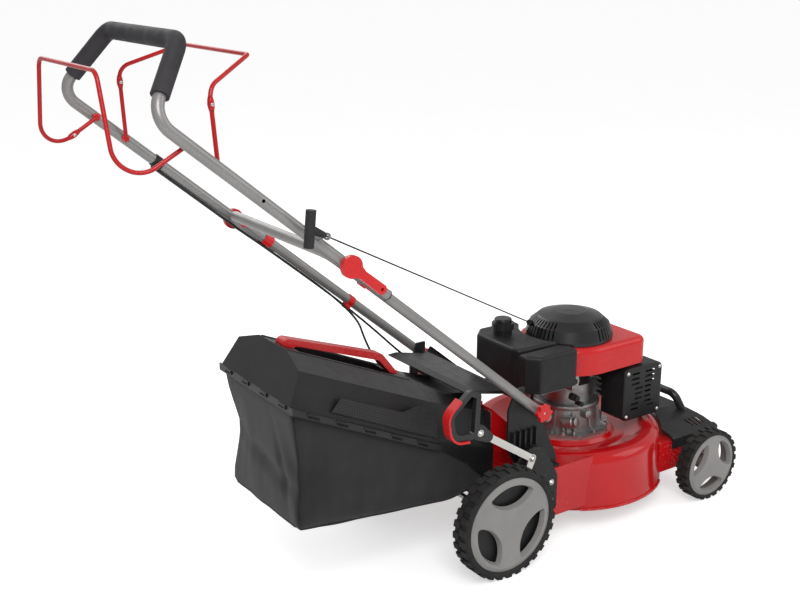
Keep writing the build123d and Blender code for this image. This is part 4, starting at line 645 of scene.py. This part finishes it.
def engine_details():
    """Webs and stubs of the crankcase, bolt heads on engine and deck, parts of the carburettor."""
    webs = Forge()
    for turn in range(0, 360, 30):
        if turn in (0, 330, 30, 180):
            continue
        ray = Vector((cos(radians(turn)), sin(radians(turn)), 0))
        wide = Vector((-ray.y, ray.x, 0)) * 2.2
        middle = Vector((ENGINE_X, 0, 0))
        outline = [(74, 186.3), (106, 186.3), (104, 194), (90, 200), (84, 236), (76, 244)]
        webs.slab([middle + ray * reach + Vector((0, 0, level)) - wide for reach, level in outline], wide * 2)
    webs.turned((ENGINE_X, 0, 240), (0, 0, 1), [(0, 80), (3, 82), (9, 82), (12, 79)], 40)
    webs.turned((REAR_X + 336, -62, 214), (0.35, -0.9, 0.2),
                [(0, 15), (24, 15), (26, 13), (34, 13), (36, 9)], 24)
    webs.turned((REAR_X + 384, -80, 232), (0, -1, 0.1), [(0, 11), (16, 11), (18, 8)], 24)
    webs.done("crankcase_webs", cast_alloy, "deck", "cast_alloy", 1.2)
    bolts = Forge()
    centre = Vector((ENGINE_X, 0, 0))
    for turn in (20, 100, 200, 290):
        reach = Vector((cos(radians(turn)), sin(radians(turn)), 0)) * BOLT_CIRCLE
        bolts.bolt(centre + reach + Vector((0, 0, 413.5)), (0, 0, 1), 3.6)
    for turn in (45, 135, 225, 315):
        reach = Vector((cos(radians(turn)), sin(radians(turn)), 0)) * BOLT_CIRCLE
        bolts.bolt(centre + reach + Vector((0, 0, 186.2)), (0, 0, 1), 5.5)
    for x, z in ((504, 218), (610, 218), (504, 330), (610, 330)):
        bolts.bolt((x, -132.3, z), (0, -1, 0), 3.2)
    for sign in (-1, 1):
        for x, z in ((196, 120), (196, 160), (132, 226)):
            bolts.bolt((x, sign * 210.4, z), (0, sign, 0), 4.6)
        for x in (150, 206):
            bolts.bolt((x, sign * 192, 195.2), (0, 0, 1), 4.4)
    bolts.done("engine_bolts", zinc, "deck", "zinc_steel", 0.25)
    plugs = Forge()
    plugs.turned((REAR_X + 330, -88, 292), (0, -1, 0), [(0, 9), (14, 9), (15, 7.4), (24, 7.4), (25, 6)], 20)
    plugs.turned((REAR_X + 352, -84, 270), (0, -1, 0), [(0, 6), (20, 6), (21, 4.5)], 18)
    plugs.done("carburettor_parts", black_plastic, "deck", "black_plastic", 0.3)


bag_cloth()
lid_details()
handle_details()
control_details()
engine_details()
cord_piece("drive_cord", "drive_cable", drive_route, CABLE_R)
cord_piece("brake_cord", "brake_cable", brake_route, CABLE_R)
cord_piece("starter_cord", "starter_rope", [rope_low, rope_high - rope_dir * ROPE_TAIL], ROPE_R)


# ------------------------------------------------------------------ camera, floor and light
FLOOR_GLOW = 0.52                      # seen by the camera alone, so the floor looks white
WORLD_LIGHT = 0.48
CAMERA_PLACE = (-1.4369, -1.9892, 1.3159)
CAMERA_AIM = (0.54065, 0.78949, -0.29051)
CAMERA_LENS = 52.2

camera_data = bpy.data.cameras.new("camera")
camera_data.lens = CAMERA_LENS
camera_data.sensor_width = 36
camera = bpy.data.objects.new("camera", camera_data)
bpy.context.scene.collection.objects.link(camera)
camera.location = CAMERA_PLACE
camera.rotation_mode = "QUATERNION"
camera.rotation_quaternion = Vector(CAMERA_AIM).to_track_quat("-Z", "Y")
bpy.context.scene.camera = camera


def plain_floor():
    """Pale paper; only the camera sees its glow."""
    half = 60.0
    mesh = bpy.data.meshes.new("floor")
    corners = [(-half, -half, 0), (half, -half, 0), (half, half, 0), (-half, half, 0)]
    mesh.from_pydata(corners, [], [(0, 1, 2, 3)])
    floor = bpy.data.objects.new("floor", mesh)
    bpy.context.scene.collection.objects.link(floor)
    made = Shade("floor_paper", 0.95, specular=0.0)
    made.colour(made.ramp(made.noise(3, 2), (0.3, (0.93, 0.93, 0.93)), (0.7, (0.95, 0.95, 0.95))))
    made.shader.inputs["Emission Color"].default_value = (1, 1, 1, 1)
    seen = made.node("ShaderNodeLightPath").outputs["Is Camera Ray"]
    made.link(made.math("MULTIPLY", seen, FLOOR_GLOW), made.shader.inputs["Emission Strength"])
    mesh.materials.append(made.material)


def soft_light(name, place, aim, size, power):
    """Square lamp of this size in metres and power in watts, turned to a point."""
    data = bpy.data.lights.new(name, "AREA")
    data.size = size
    data.energy = power
    lamp = bpy.data.objects.new(name, data)
    lamp.location = place
    lamp.rotation_mode = "QUATERNION"
    lamp.rotation_quaternion = (Vector(aim) - Vector(place)).to_track_quat("-Z", "Y")
    bpy.context.scene.collection.objects.link(lamp)


def studio_world():
    """White to the camera, softer to everything that it lights."""
    world = bpy.data.worlds.new("studio")
    bpy.context.scene.world = world
    world.use_nodes = True
    tree = world.node_tree
    plain = tree.nodes["Background"]
    plain.inputs["Color"].default_value = (1, 1, 1, 1)
    plain.inputs["Strength"].default_value = WORLD_LIGHT
    shown = tree.nodes.new("ShaderNodeBackground")
    shown.inputs["Color"].default_value = (1, 1, 1, 1)
    shown.inputs["Strength"].default_value = 1.0
    path = tree.nodes.new("ShaderNodeLightPath")
    join = tree.nodes.new("ShaderNodeMixShader")
    tree.links.new(path.outputs["Is Camera Ray"], join.inputs[0])
    tree.links.new(plain.outputs[0], join.inputs[1])
    tree.links.new(shown.outputs[0], join.inputs[2])
    tree.links.new(join.outputs[0], tree.nodes["World Output"].inputs["Surface"])


plain_floor()
studio_world()
soft_light("key", (-1.4, -2.4, 2.9), (0.1, 0, 0.4), 1.8, 62)
soft_light("fill", (2.6, -1.8, 2.2), (0.1, 0, 0.3), 2.0, 16)
soft_light("back", (0.2, 2.8, 2.6), (0.1, 0, 0.5), 2.6, 34)
bpy.context.scene.view_settings.view_transform = "Standard"
